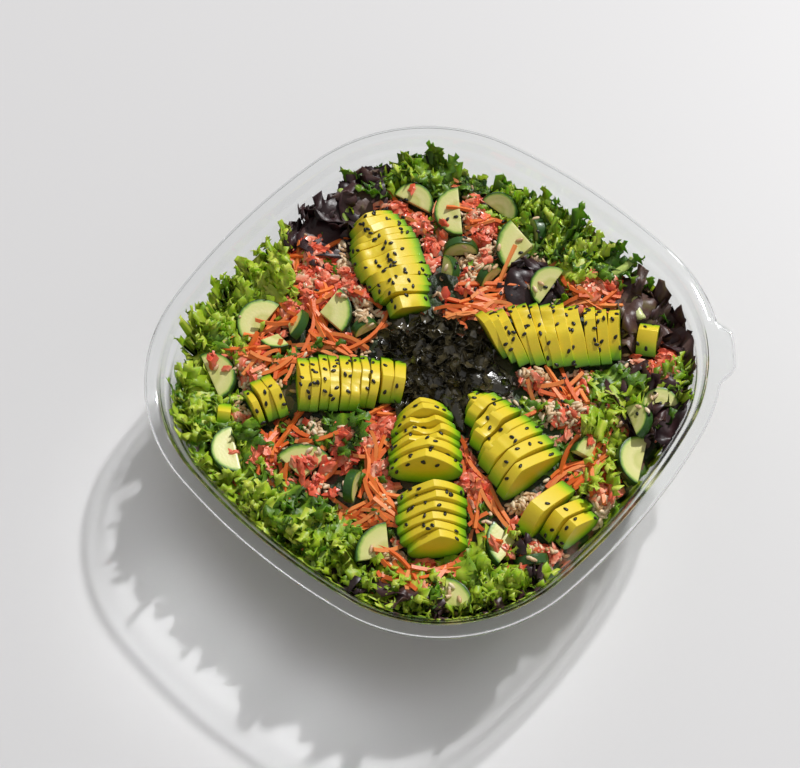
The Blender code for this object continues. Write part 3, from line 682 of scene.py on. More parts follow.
@dataclass(frozen=True)
class TubForm:
    """The rounded square of the tub and the slope of its wall, in metres."""

    side: float = 305 * MM
    height: float = 85 * MM
    corner_radius: float = 104 * MM
    side_radius: float = 386 * MM
    wall: float = 1.1 * MM
    tab_reach: float = 7.5 * MM
    tab_angle: float = math.radians(39)
    tab_half_angle: float = math.radians(11)
    tab_ribs: int = 6
    inner_levels: int = 7

    def profile(self) -> list:
        """Inset from the outer edge and height of the outer face, base to lip."""
        under, lip = self.height - self.wall, self.height - 4.5 * MM
        rows = [(55.0, 0.0), (50.5, 0.9), (43.5, 5.0), (36.5, 16.0), (25.5, 38.0), (15.5, 60.0)]
        rows += [(12.4, 72.5), (9.8, 74.3), (8.2, 81.8)]
        points = [(inset * MM, z * MM) for inset, z in rows]
        return points + [(7 * MM, under), (self.wall, under - self.wall), (self.wall, lip)]

    def corner_centre(self) -> float:
        """Distance of each corner arc's centre from both middle planes."""
        reach = self.side_radius - self.side / 2
        span = self.side_radius - self.corner_radius
        return (math.sqrt(2 * span * span - reach * reach) - reach) / 2

    def corner_start(self) -> float:
        """Angle at which a side's arc ends and a corner's arc begins."""
        centre = self.corner_centre()
        return math.atan2(centre, centre + self.side_radius - self.side / 2)

    def outline(self, inset: float, z: float, sides: int, corners: int, tab: float = 0.0) -> np.ndarray:
        """Points round the rounded square at an inset from the outer edge.

        Args:
            inset: Distance inside the outer edge.
            z: Height of the points.
            sides: Steps along a side.
            corners: Steps round a corner.
            tab: How far out the lift tab stands.

        Returns:
            The points.
        """
        centre, start = self.corner_centre(), self.corner_start()
        points = []
        for quarter in range(4):
            turn = Matrix.Rotation(quarter * math.pi / 2, 3, "Z")
            for step in range(sides):
                angle = start * (2 * step / sides - 1)
                x = self.side / 2 - self.side_radius + (self.side_radius - inset) * math.cos(angle)
                points.append(turn @ Vector((x, (self.side_radius - inset) * math.sin(angle), z)))
            for step in range(corners):
                angle = start + (math.pi / 2 - 2 * start) * step / corners
                swell = tab * self.tab_swell(angle) if quarter == 0 else 0.0
                radius = self.corner_radius - inset + swell
                rib = self.tab_rib(angle) if tab and quarter == 0 and inset > 2 * MM else 0.0
                along = (centre + radius * math.cos(angle), centre + radius * math.sin(angle), z + rib)
                points.append(turn @ Vector(along))
        return np.array(points)

    def tab_swell(self, angle: float) -> float:
        """How far out the lift tab stands at an angle of its corner, from 0 to 1."""
        away = abs(angle - self.tab_angle) / self.tab_half_angle
        return 0.0 if away >= 1 else min(1.0, 2.2 * (1 - away))

    def tab_rib(self, angle: float) -> float:
        """Height of the lift tab's short ribs at an angle."""
        away = (angle - self.tab_angle) / self.tab_half_angle
        if abs(away) > 0.7:
            return 0.0
        return -0.55 * MM * (0.5 - 0.5 * math.cos(2 * math.pi * self.tab_ribs * (away + 0.7) / 1.4))

    def inner_inset(self, z: np.ndarray, gap: float) -> np.ndarray:
        """Inset of the inner face at heights, with a gap kept to it."""
        wall = self.profile()[: self.inner_levels]
        insets = []
        for (inset_a, z_a), (inset_b, z_b) in zip(wall, wall[1:]):
            slope = math.hypot(inset_b - inset_a, z_b - z_a) / (z_b - z_a)
            outer = inset_a + (z - z_a) / (z_b - z_a) * (inset_b - inset_a)
            insets.append(outer + (self.wall + gap) * slope)
        return np.max(insets, axis=0)

    def outward(self, points: np.ndarray) -> tuple:
        """Insets of points from the outer edge, and their outward directions.

        Args:
            points: Points, of which x and y count.

        Returns:
            The insets and the unit directions on the plan.
        """
        centre, start = self.corner_centre(), self.corner_start()
        reach = self.side_radius - self.side / 2
        sign = np.where(points[:, :2] < 0, -1.0, 1.0)
        x, y = np.abs(points[:, 0]), np.abs(points[:, 1])
        angle = np.arctan2(y - centre, x - centre)
        corner = (angle > start) & (angle < math.pi / 2 - start)
        side_x = np.hypot(x + reach, y) > np.hypot(x, y + reach)
        from_x = np.where(corner, x - centre, np.where(side_x, x + reach, x))
        from_y = np.where(corner, y - centre, np.where(side_x, y, y + reach))
        far = np.hypot(from_x, from_y)
        inset = np.where(corner, self.corner_radius, self.side_radius) - far
        return inset, np.stack([from_x / far * sign[:, 0], from_y / far * sign[:, 1]], 1)

    def kept_inside(self, points: np.ndarray, gap: float) -> np.ndarray:
        """Points moved inwards where they would enter the wall."""
        inset, out = self.outward(points)
        short = np.maximum(0.0, self.inner_inset(points[:, 2], gap) - inset)
        moved = points.copy()
        moved[:, :2] -= out * short[:, None]
        return moved


@dataclass
class Tub:
    """The clear tub with its rolled lip and ribbed lift tab."""

    form: TubForm
    sides: int = 14
    corners: int = 44
    rounding: int = 4
    tab_levels: int = 2

    def levels(self) -> list:
        """The profile with each of its corners rounded, as inset, height and share of the tab.

        Returns:
            The levels from the base to the lip.
        """
        rows = self.form.profile()
        tab_from = len(rows) - self.tab_levels
        levels = [(*rows[0], 0.0)]
        for number in range(1, len(rows) - 1):
            before, here, after = (np.array(rows[number + k]) for k in (-1, 0, 1))
            reach = min(3 * MM, np.linalg.norm(here - before) * 0.45, np.linalg.norm(after - here) * 0.45)
            a = here + (before - here) / np.linalg.norm(before - here) * reach
            b = here + (after - here) / np.linalg.norm(after - here) * reach
            for step in range(self.rounding + 1):
                t = step / self.rounding
                inset, z = (1 - t) ** 2 * a + 2 * t * (1 - t) * here + t * t * b
                tab = 1.0 if number >= tab_from else (t if number == tab_from - 1 else 0.0)
                levels.append((inset, z, tab))
        levels.append((*rows[-1], 1.0))
        return levels

    def build(self) -> bpy.types.Object:
        """Build the tub.

        Returns:
            The tub's object.
        """
        rings = []
        for inset, z, tab in self.levels():
            reach = tab * self.form.tab_reach
            rings.append(self.form.outline(inset, z, self.sides, self.corners, reach))
        count = len(rings[0])
        centre = np.array([[0.0, 0.0, 0.0]])
        points = np.concatenate([*rings, centre])
        step = np.arange(count)
        base = np.stack([np.full(count, len(points) - 1), (step + 1) % count, step], 1)
        mesh = Mesh(points, np.concatenate([grid_faces(len(rings), count, closed=True), base]))
        tub = make_object("clear_tub", mesh, ClearSheet(), ["tub"])
        wall = tub.modifiers.new("Wall", "SOLIDIFY")
        wall.thickness = self.form.wall
        wall.offset = -1.0
        wall.use_even_offset = True
        return tub


# Bed of salad


@dataclass(frozen=True)
class SaladForm:
    """The heap of salad: its heights, its shoulder at the wall and its lumpy dome."""

    tub: TubForm
    gap: float = 0.35 * MM
    edge_height: float = 57 * MM
    crown_height: float = 69 * MM
    shoulder_inset: float = 7 * MM
    rings: int = 5
    sides: int = 4
    corners: int = 6
    lump_height: float = 2.0 * MM
    lump_size: float = 34 * MM

    def dome(self, x: float, y: float, share: float) -> float:
        """Height of the dome at a place and its share of the way from middle to edge."""
        lump = noise.noise(Vector((x / self.lump_size, y / self.lump_size, SEED))) * self.lump_height
        return self.edge_height + (self.crown_height - self.edge_height) * (1 - share * share) + lump

    def top(self, rings: int, sides: int, corners: int, inset: float = 0.0) -> list:
        """Rings of the dome from the edge inwards.

        Args:
            rings: How many rings.
            sides: Steps along a side.
            corners: Steps round a corner.
            inset: A further inset of the edge.

        Returns:
            Rings of points.
        """
        shoulder = float(self.tub.inner_inset(np.array(self.edge_height), self.gap)) + self.shoulder_inset
        edge = self.tub.outline(shoulder - inset, 0.0, sides, corners)
        made = []
        for ring in range(rings):
            share = 1 - ring / rings
            plan = edge[:, :2] * share
            heights = [self.dome(x, y, share) for x, y in plan]
            made.append(np.column_stack([plan, heights]))
        return made

    def tree(self) -> BVHTree:
        """A search tree over the plain dome, which the toppings rest on."""
        crown = np.array([0, 0, self.crown_height])
        return tree_of(loft(self.top(self.rings, self.sides, self.corners), np.zeros(3), crown))


def tree_of(mesh: Mesh) -> BVHTree:
    """A search tree over a mesh."""
    return BVHTree.FromPolygons(mesh.points.tolist(), mesh.faces.tolist())


def drop_on(tree: BVHTree, x: float, y: float) -> tuple:
    """What a straight drop at a place of the plan meets: place, normal and more, or Nones."""
    return tree.ray_cast(Vector((x, y, DROP_FROM)), Vector((0, 0, -1)))


def height_on(tree: BVHTree, x: float, y: float) -> Optional[float]:
    """Height of a surface at a place of the plan, or None beside it."""
    place = drop_on(tree, x, y)[0]
    return place.z if place else None


@dataclass
class Bed:
    """The tossed salad under the loose pieces, out to the tub's wall."""

    salad: SaladForm
    sides: int = 22
    corners: int = 22
    rings: int = 44
    drop: float = 2.0 * MM
    relief: float = 1.5 * MM
    into_wall: float = 0.3 * MM
    edge_drop: float = 5.0 * MM
    uneven: float = 5.0 * MM
    wall_steps: int = 16

    def edge_lumps(self, ring: np.ndarray) -> np.ndarray:
        """How far the bed's edge goes up and down at the points of a ring."""
        coarse = [noise.noise(Vector((x, y, SEED)) * 42) for x, y, _ in ring]
        fine = [noise.noise(Vector((x, y, 1)) * 120) for x, y, _ in ring]
        return (np.array(coarse) + 0.5 * np.array(fine)) * self.uneven

    def wall_rings(self, floor: float) -> list:
        """Rings up the inside of the wall, which reach just into it.

        Args:
            floor: Height of the lowest ring.

        Returns:
            The rings from the floor to the edge.
        """
        tub = self.salad.tub
        plan = tub.outline(20 * MM, 0.0, self.sides, self.corners)
        lumps = self.edge_lumps(plan)
        rings = []
        for share in (0.0, *np.linspace(0.06, 1, self.wall_steps)):
            ring = plan.copy()
            ring[:, 2] = floor + share * (self.salad.edge_height - self.edge_drop - floor + lumps)
            inset, out = tub.outward(ring)
            ring[:, :2] += out * (inset - tub.inner_inset(ring[:, 2], -self.into_wall))[:, None]
            rings.append(ring)
        return rings

    def build(self) -> Mesh:
        """Build the bed.

        Returns:
            The bed's mesh, whose value "side" marks what is at the wall.
        """
        tub = self.salad.tub
        floor = tub.wall - self.into_wall
        rings = self.wall_rings(floor)
        top = self.salad.top(self.rings, self.sides, self.corners)
        rings.append((rings[-1] + top[0]) / 2 + np.array([0, 0, 1.5 * MM]))
        for number, ring in enumerate(top):
            rough = [noise.noise(Vector(p) * 110) + 0.6 * noise.noise(Vector(p) * 260) for p in ring]
            ring[:, 2] += np.array(rough) * self.relief - self.drop * min(1.0, number / 3)
            rings.append(ring)
        crown = np.array([0, 0, self.salad.crown_height - self.drop])
        mesh = loft(rings, np.array([0, 0, floor]), crown)
        inset, _ = tub.outward(mesh.points)
        mesh.values["side"] = (inset < tub.inner_inset(mesh.points[:, 2], 1.0 * MM)).astype(float)
        return mesh


class Ground:
    """Heights of what lies in the tub on a grid, and where toppings keep it clear."""

    STEP = 1 * MM
    HALF = 150
    SIZE = 2 * HALF + 1
    ACROSS = 0.22

    def __init__(self, bed: Mesh, toppings: Sequence[Mesh]) -> None:
        """Measure the bed and the toppings.

        Args:
            bed: The bed's mesh.
            toppings: Meshes that loose pieces keep clear of.
        """
        self.height = self.tops(bed)
        self.topping = np.zeros((self.SIZE, self.SIZE))
        self.seldom = np.zeros((self.SIZE, self.SIZE), bool)
        self.draw = random.Random(SEED + 3)
        for mesh in toppings:
            self.topping = np.maximum(self.topping, self.tops(mesh))
        self.bed = self.height.copy()

    def tops(self, mesh: Mesh) -> np.ndarray:
        """Heights of a mesh on the grid, and 0 beside it."""
        made = np.zeros((self.SIZE, self.SIZE))
        tree = tree_of(mesh)
        low, high = mesh.points.min(0) - self.STEP, mesh.points.max(0) + self.STEP
        for i in range(self.cell(low[0]), self.cell(high[0]) + 1):
            for j in range(self.cell(low[1]), self.cell(high[1]) + 1):
                x, y = (i - self.HALF) * self.STEP, (j - self.HALF) * self.STEP
                made[i, j] = height_on(tree, x, y) or 0.0
        return made

    def open_up(self, toppings: Sequence[Mesh]) -> None:
        """Let a few pieces lie across some toppings from now on."""
        for mesh in toppings:
            tops = self.tops(mesh)
            here = tops > 0
            self.height = np.where(here, np.maximum(self.height, tops), self.height)
            self.topping = np.where(here, 0.0, self.topping)
            self.seldom |= here

    def allows(self, points: np.ndarray) -> bool:
        """Whether a piece may lie there, which is seldom on an opened topping."""
        return not self.seldom[self.cells(points)].any() or self.draw.random() < self.ACROSS

    def cell(self, value: float) -> int:
        """The grid's row or column of a coordinate."""
        return int(min(2 * self.HALF, max(0, round(value / self.STEP) + self.HALF)))

    def cells(self, points: np.ndarray) -> tuple:
        """The grid's cells of points."""
        index = np.clip(np.rint(points[:, :2] / self.STEP).astype(int) + self.HALF, 0, 2 * self.HALF)
        return index[:, 0], index[:, 1]

    def on_topping(self, points: np.ndarray) -> np.ndarray:
        """Whether points lie under or over a topping."""
        return self.topping[self.cells(points)] > 0

    def cover(self, points: np.ndarray, share: float) -> None:
        """Raise the ground towards the tops of points that were laid on it."""
        cells = self.cells(points)
        raised = self.height[cells] + (points[:, 2] - self.height[cells]) * share
        np.maximum.at(self.height, cells, raised)


def laid(
    mesh: Mesh, ground: Ground, tub: TubForm, x: float, y: float, turn: float, tip: float, lift: float,
    cling: float = 0.7,
) -> Optional[Mesh]:
    """Lay a small piece on the ground, tilted as the ground is.

    Args:
        mesh: The piece round the origin, with its length along X.
        ground: What it is laid on.
        tub: The tub that it has to stay in.
        x: Place on the plan.
        y: Place on the plan.
        turn: Turn round the vertical, in radians.
        tip: Further tilt along its length, in radians.
        lift: Height of its middle over the ground.
        cling: How far it raises the ground for later pieces.

    Returns:
        The laid mesh, or None where it doesn't fit.
    """
    spin = mesh.moved(Matrix.Translation((x, y, 0)) @ Matrix.Rotation(turn, 4, "Z"))
    if ground.on_topping(spin.points).mean() > COVERED or not ground.allows(spin.points):
        return None
    heights = ground.height[ground.cells(spin.points)]
    if heights.min() <= 0:
        return None
    plan = np.column_stack([spin.points[:, :2] - (x, y), np.ones(len(spin.points))])
    (slope_x, slope_y, middle), *_ = np.linalg.lstsq(plan, heights, rcond=None)
    if np.abs(plan @ (slope_x, slope_y, middle) - heights).max() > BRIDGED:
        return None
    slopes = np.clip((slope_x, slope_y), -STEEPEST, STEEPEST)
    normal = Vector((*-slopes, 1)).normalized()
    level = normal.to_track_quat("Z", "X").to_matrix().to_4x4()
    ahead = level.inverted() @ Vector((math.cos(turn), math.sin(turn), 0, 0))
    frame = Matrix.Translation((x, y, middle + lift)) @ level
    frame = frame @ Matrix.Rotation(math.atan2(ahead.y, ahead.x), 4, "Z") @ Matrix.Rotation(tip, 4, "Y")
    placed = mesh.moved(frame)
    top = ground.topping[ground.cells(placed.points)]
    if ((top > 0) & (placed.points[:, 2] > top - CLEAR)).any():
        return None
    inset, _ = tub.outward(placed.points)
    if (inset < tub.inner_inset(placed.points[:, 2], CLEAR)).any():
        return None
    ground.cover(placed.points, cling)
    return placed


# Loose pieces of the salad


@dataclass(frozen=True)
class Patch:
    """Where pieces of a kind lie together, in millimetres as seen at the rim's height.

    The heading, in degrees, is the one in which shreds lie or leaves point.
    """

    x: float
    y: float
    spread: float
    count: int
    heading: Optional[float] = None


def patches(rows: Sequence[tuple]) -> list:
    """Patches from rows of their values."""
    return [Patch(*row) for row in rows]


CRAB_PATCHES = patches((
    (-97, 76, 6, 10), (-76, 72, 9, 22), (-60, 80, 5, 7), (-38, 92, 9, 22), (-28, 120, 3, 4),
    (-46, 58, 6, 9), (-18, 60, 6, 9), (-112, 14, 7, 12), (-100, 8, 8, 17), (-73, 10, 6, 12),
    (-90, -20, 8, 20), (-86, -8, 5, 8), (-88, -62, 8, 19), (-98, -72, 6, 12), (-42, -103, 6, 11),
    (-34, -112, 4, 6), (-28, -128, 3, 5), (-10, -98, 6, 12), (-5, -72, 7, 10), (12, -60, 5, 8),
    (45, 115, 8, 20), (40, 104, 5, 7), (105, 93, 7, 20), (124, 2, 7, 14), (108, 2, 6, 9),
    (112, -58, 8, 17), (62, -40, 7, 12), (82, -107, 6, 10), (52, 30, 4, 7), (22, -72, 6, 8),
    (-52, 104, 4, 6), (70, -118, 5, 6), (-65, -20, 5, 6), (95, -92, 4, 6), (-20, 86, 4, 5),
    (0, -48, 4, 6), (124, -32, 5, 8), (120, -68, 6, 8), (128, -50, 4, 6), (100, 38, 8, 9),
    (84, 26, 6, 8), (-118, -2, 4, 6), (66, 60, 5, 5), (-62, -98, 4, 5),
))
CARROT_PATCHES = patches((
    (15, 122, 3, 8, 62), (18, 95, 5, 7, 330), (-48, 98, 6, 7, 40), (-70, 102, 3, 3, 100),
    (0, 80, 6, 4, 300), (-6, 45, 7, 10, 40), (4, 58, 6, 7, 60), (72, 45, 5, 6, 320),
    (66, 37, 4, 3, 350), (106, 36, 4, 5, 20), (110, 8, 6, 11, 110), (128, 6, 4, 3, 350),
    (136, 38, 2, 2, 80), (82, -40, 4, 4, 150), (55, -31, 4, 3, 335), (80, -56, 4, 4, 300),
    (112, -56, 6, 8, 340), (98, -68, 4, 3, 70), (88, -92, 4, 5, 60), (66, -112, 8, 10, 0),
    (34, -98, 9, 14, 10), (17, -113, 5, 6, 70), (14, -68, 6, 5, 290), (2, -46, 5, 5, 200),
    (-40, -92, 5, 6, 320), (-13, -108, 4, 3, 300), (-26, -82, 5, 4, 10), (-80, -54, 8, 14, 90),
    (-104, -67, 5, 7, 15), (-76, -30, 9, 16, 140), (-58, -22, 7, 10, 20), (-108, -24, 6, 5, 330),
    (-120, 8, 5, 4, 330), (-38, -3, 4, 4, 300), (-58, 4, 5, 4, 30), (-76, -6, 4, 5, 95),
    (-90, -44, 7, 10, 60), (-8, 62, 5, 6, 30), (-30, 60, 5, 4, 10), (-66, 66, 6, 5, 20),
    (-90, 80, 4, 3, 0), (46, 92, 6, 7, 30), (-20, 104, 4, 3, 60), (30, -60, 3, 2, 300),
    (60, -100, 4, 4, 30),
))
RICE_PATCHES = patches((
    (-30, 77, 7, 30), (-16, 70, 5, 14), (-60, 9, 7, 30), (-50, 0, 5, 12), (-84, -74, 7, 26),
    (-75, -70, 5, 12), (-24, -78, 6, 18), (35, -86, 5, 14), (-6, -64, 5, 12), (118, 90, 5, 18),
    (130, -6, 6, 26), (135, -14, 4, 10), (95, -107, 6, 22), (52, 31, 4, 14), (40, 99, 4, 10),
    (-95, -2, 5, 14), (-98, 32, 4, 10), (0, 106, 4, 8), (-122, 20, 4, 10), (96, -32, 4, 10),
    (-50, 97, 4, 10), (115, 60, 5, 10), (70, 55, 6, 12), (75, 25, 7, 18), (-110, -50, 5, 10),
    (10, 75, 5, 10), (-68, -88, 5, 12), (60, -106, 5, 10), (-15, -88, 5, 10), (122, -40, 6, 16),
    (124, -58, 6, 14), (100, 40, 8, 22), (88, 30, 6, 12), (118, -76, 5, 10), (-104, -10, 6, 14),
    (-86, 22, 4, 10), (0, 96, 5, 8),
))
FRILL_PATCHES = patches((
    (-112, -8, 4, 1, 175), (-113, -24, 5, 2, 190), (-114, -40, 5, 3, 185), (-113, -54, 5, 2, 190),
    (-110, -68, 5, 3, 200), (-103, -82, 4, 2, 205), (-95, -94, 5, 2, 215), (-86, -103, 5, 2, 222),
    (-76, -109, 4, 2, 236), (-64, -114, 4, 1, 246), (-94, 100, 5, 3, 165), (-84, 98, 5, 2, 185),
    (-100, 84, 4, 1, 190), (-6, 119, 5, 3, 100), (6, 117, 4, 2, 80), (30, 116, 4, 1, 70),
    (24, 104, 4, 1, 60), (-38, 108, 4, 1, 90), (86, 58, 6, 1, 0), (90, 44, 4, 1, 330),
    (112, 78, 4, 1, 20), (112, 22, 4, 1, 340), (106, -84, 5, 2, 340), (98, -80, 4, 1, 10),
    (110, -92, 4, 1, 320), (86, -112, 5, 2, 320), (24, -116, 5, 3, 270), (30, -108, 4, 1, 280),
    (36, -120, 4, 1, 290), (-10, -118, 5, 1, 260), (-30, -122, 5, 1, 260), (-48, -118, 4, 1, 250),
    (-34, -66, 4, 1, 220), (-62, -96, 4, 1, 210), (-92, 30, 4, 1, 150), (60, 62, 4, 1, 20),
    (118, -46, 4, 1, 340), (120, -74, 4, 1, 340), (114, -34, 4, 1, 10),
))
RED_PATCHES = patches((
    (-108, 58, 5, 2, 140), (-108, 42, 4, 2, 200), (-112, 26, 4, 1, 190), (68, 120, 5, 1, 20),
    (84, 114, 5, 2, 345), (100, 104, 4, 1, 330), (106, 72, 5, 2, 330), (118, 62, 4, 1, 320),
    (80, -48, 4, 2, 330), (114, -68, 4, 2, 330), (70, -120, 5, 1, 300), (92, -116, 4, 1, 320),
    (14, 80, 3, 1, 100), (46, -122, 4, 1, 300),
))
BROAD_PATCHES = patches((
    (-15, -118, 3, 1, 250), (4, -122, 3, 1, 275), (26, -126, 3, 1, 265), (-76, -104, 3, 1, 225),
    (-40, -66, 3, 1, 205), (90, 62, 3, 1, 350), (-36, 112, 3, 1, 95), (10, 120, 3, 1, 70),
    (96, -86, 3, 1, 325), (124, -70, 3, 1, 300), (62, -118, 3, 1, 290), (-112, -44, 3, 1, 180),
    (-104, 96, 3, 1, 165), (-110, -74, 3, 1, 200), (84, -66, 3, 1, 330), (-12, -62, 3, 1, 280),
    (-46, -106, 3, 1, 240), (40, 70, 3, 1, 120),
))


@dataclass(frozen=True)
class LeafForm:
    """A leaf with lobes along a rib: sizes in metres."""

    length: float
    width: float
    lobes: int
    lobe_length: float
    lobe_width: float
    ruffle: float
    rise: float
    droop: float
    tooth: float
    rows: int = 7

    def leaflet(self, draw: random.Random, length: float, width: float) -> Mesh:
        """One wavy lobe along X with toothed sides.

        Args:
            draw: The random draw.
            length: Its length.
            width: Its greatest width.

        Returns:
            The lobe's open sheet.
        """
        u = np.linspace(0, 1, self.rows)
        v = np.array([-1.0, 0.0, 1.0])
        half = width / 2 * (0.28 + 0.72 * np.sin(np.pi * (0.12 + 0.80 * u)))
        tooth = np.where(np.arange(self.rows) % 2 == 0, 1 - self.tooth, 1 + self.tooth)
        phase, turns = draw.uniform(0, 6.28), draw.uniform(1.2, 2.2)
        grid_u, grid_v = np.meshgrid(u, v, indexing="ij")
        x = grid_u * length + np.abs(grid_v) * 0.10 * length
        y = grid_v * (half * tooth)[:, None]
        wave = np.sin(2 * np.pi * turns * grid_u + phase + grid_v * 1.2)
        z = np.abs(grid_v) * self.ruffle * wave + draw.uniform(-0.3, 0.8) * grid_u ** 2 * length * 0.5
        points = np.stack([x, y, z], -1).reshape(-1, 3)
        tone = 0.36 + 0.34 * grid_u.ravel() - 0.10 * grid_v.ravel() ** 2
        return Mesh(points, grid_faces(self.rows, 3), {"tone": tone})

    def frond(self, draw: random.Random) -> Mesh:
        """A wavy blade with lobes along both margins and one at its tip.

        Args:
            draw: The random draw.

        Returns:
            The leaf's open sheet, from its root at the origin along X.
        """
        parts = Gathering()
        length = self.length * draw.uniform(0.75, 1.15)
        bend = draw.uniform(-0.18, 0.18) * length
        phase = draw.uniform(0, 6.28)
        u, v = np.meshgrid(np.linspace(0, 1, 11), np.linspace(-1, 1, 5), indexing="ij")
        half = self.margin(u)
        wave = np.sin(2 * np.pi * 2.3 * u + phase + 1.4 * np.sign(v))
        z = self.arch(u) + (0.7 * self.ruffle * wave + 0.25 * half) * v ** 2
        blade = np.stack([u * length, v * half + bend * u ** 2, z], -1).reshape(-1, 3)
        tone = 0.36 + 0.12 * u.ravel() + 0.3 * (v.ravel() == 0)
        parts.add(Mesh(blade, grid_faces(11, 5), {"tone": tone}))
        for number in range(self.lobes):
            t = 0.12 + 0.80 * number / max(1, self.lobes - 1)
            side = 1 if number % 2 else -1
            size = math.sin(math.pi * (0.18 + 0.62 * t)) * draw.uniform(0.75, 1.25)
            lobe = self.leaflet(draw, self.lobe_length * size, self.lobe_width * size)
            edge = side * self.margin(t) * 0.75
            frame = Matrix.Translation((t * length, edge + bend * t * t, self.arch(t)))
            frame = frame @ Matrix.Rotation(side * draw.uniform(0.35, 1.1), 4, "Z")
            frame = frame @ Matrix.Rotation(-draw.uniform(-0.25, 0.7), 4, "Y")
            parts.add(lobe.moved(frame @ Matrix.Rotation(draw.uniform(-0.6, 0.6), 4, "X")))
        tip = self.leaflet(draw, self.lobe_length * 0.8, self.lobe_width)
        parts.add(tip.moved(Matrix.Translation((length * 0.97, bend, self.arch(0.97)))))
        return parts.joined()

    def arch(self, share: Any) -> Any:
        """Height of the rib at a share of the leaf's length."""
        return self.rise * share - self.droop * share * share

    def margin(self, share: Any) -> Any:
        """Half the blade's width at a share of the leaf's length."""
        return self.width / 2 * (0.15 + 0.85 * np.sin(np.pi * (0.06 + 0.80 * share)))


FRILL = LeafForm(36 * MM, 10 * MM, 10, 19 * MM, 6.8 * MM, 2.6 * MM, 14 * MM, 6 * MM, 0.46, 9)
PRESSED = LeafForm(27 * MM, 17 * MM, 5, 10 * MM, 9 * MM, 1.4 * MM, 0.0, 0.0, 0.12)
BROAD = LeafForm(36 * MM, 17 * MM, 8, 12 * MM, 10 * MM, 3.2 * MM, 11 * MM, 7 * MM, 0.16)
RED = LeafForm(44 * MM, 31 * MM, 4, 11 * MM, 18 * MM, 2.8 * MM, 12 * MM, 5 * MM, 0.05)
SCRAP = LeafForm(15 * MM, 10 * MM, 3, 10 * MM, 8.5 * MM, 1.6 * MM, 3 * MM, 2 * MM, 0.12)


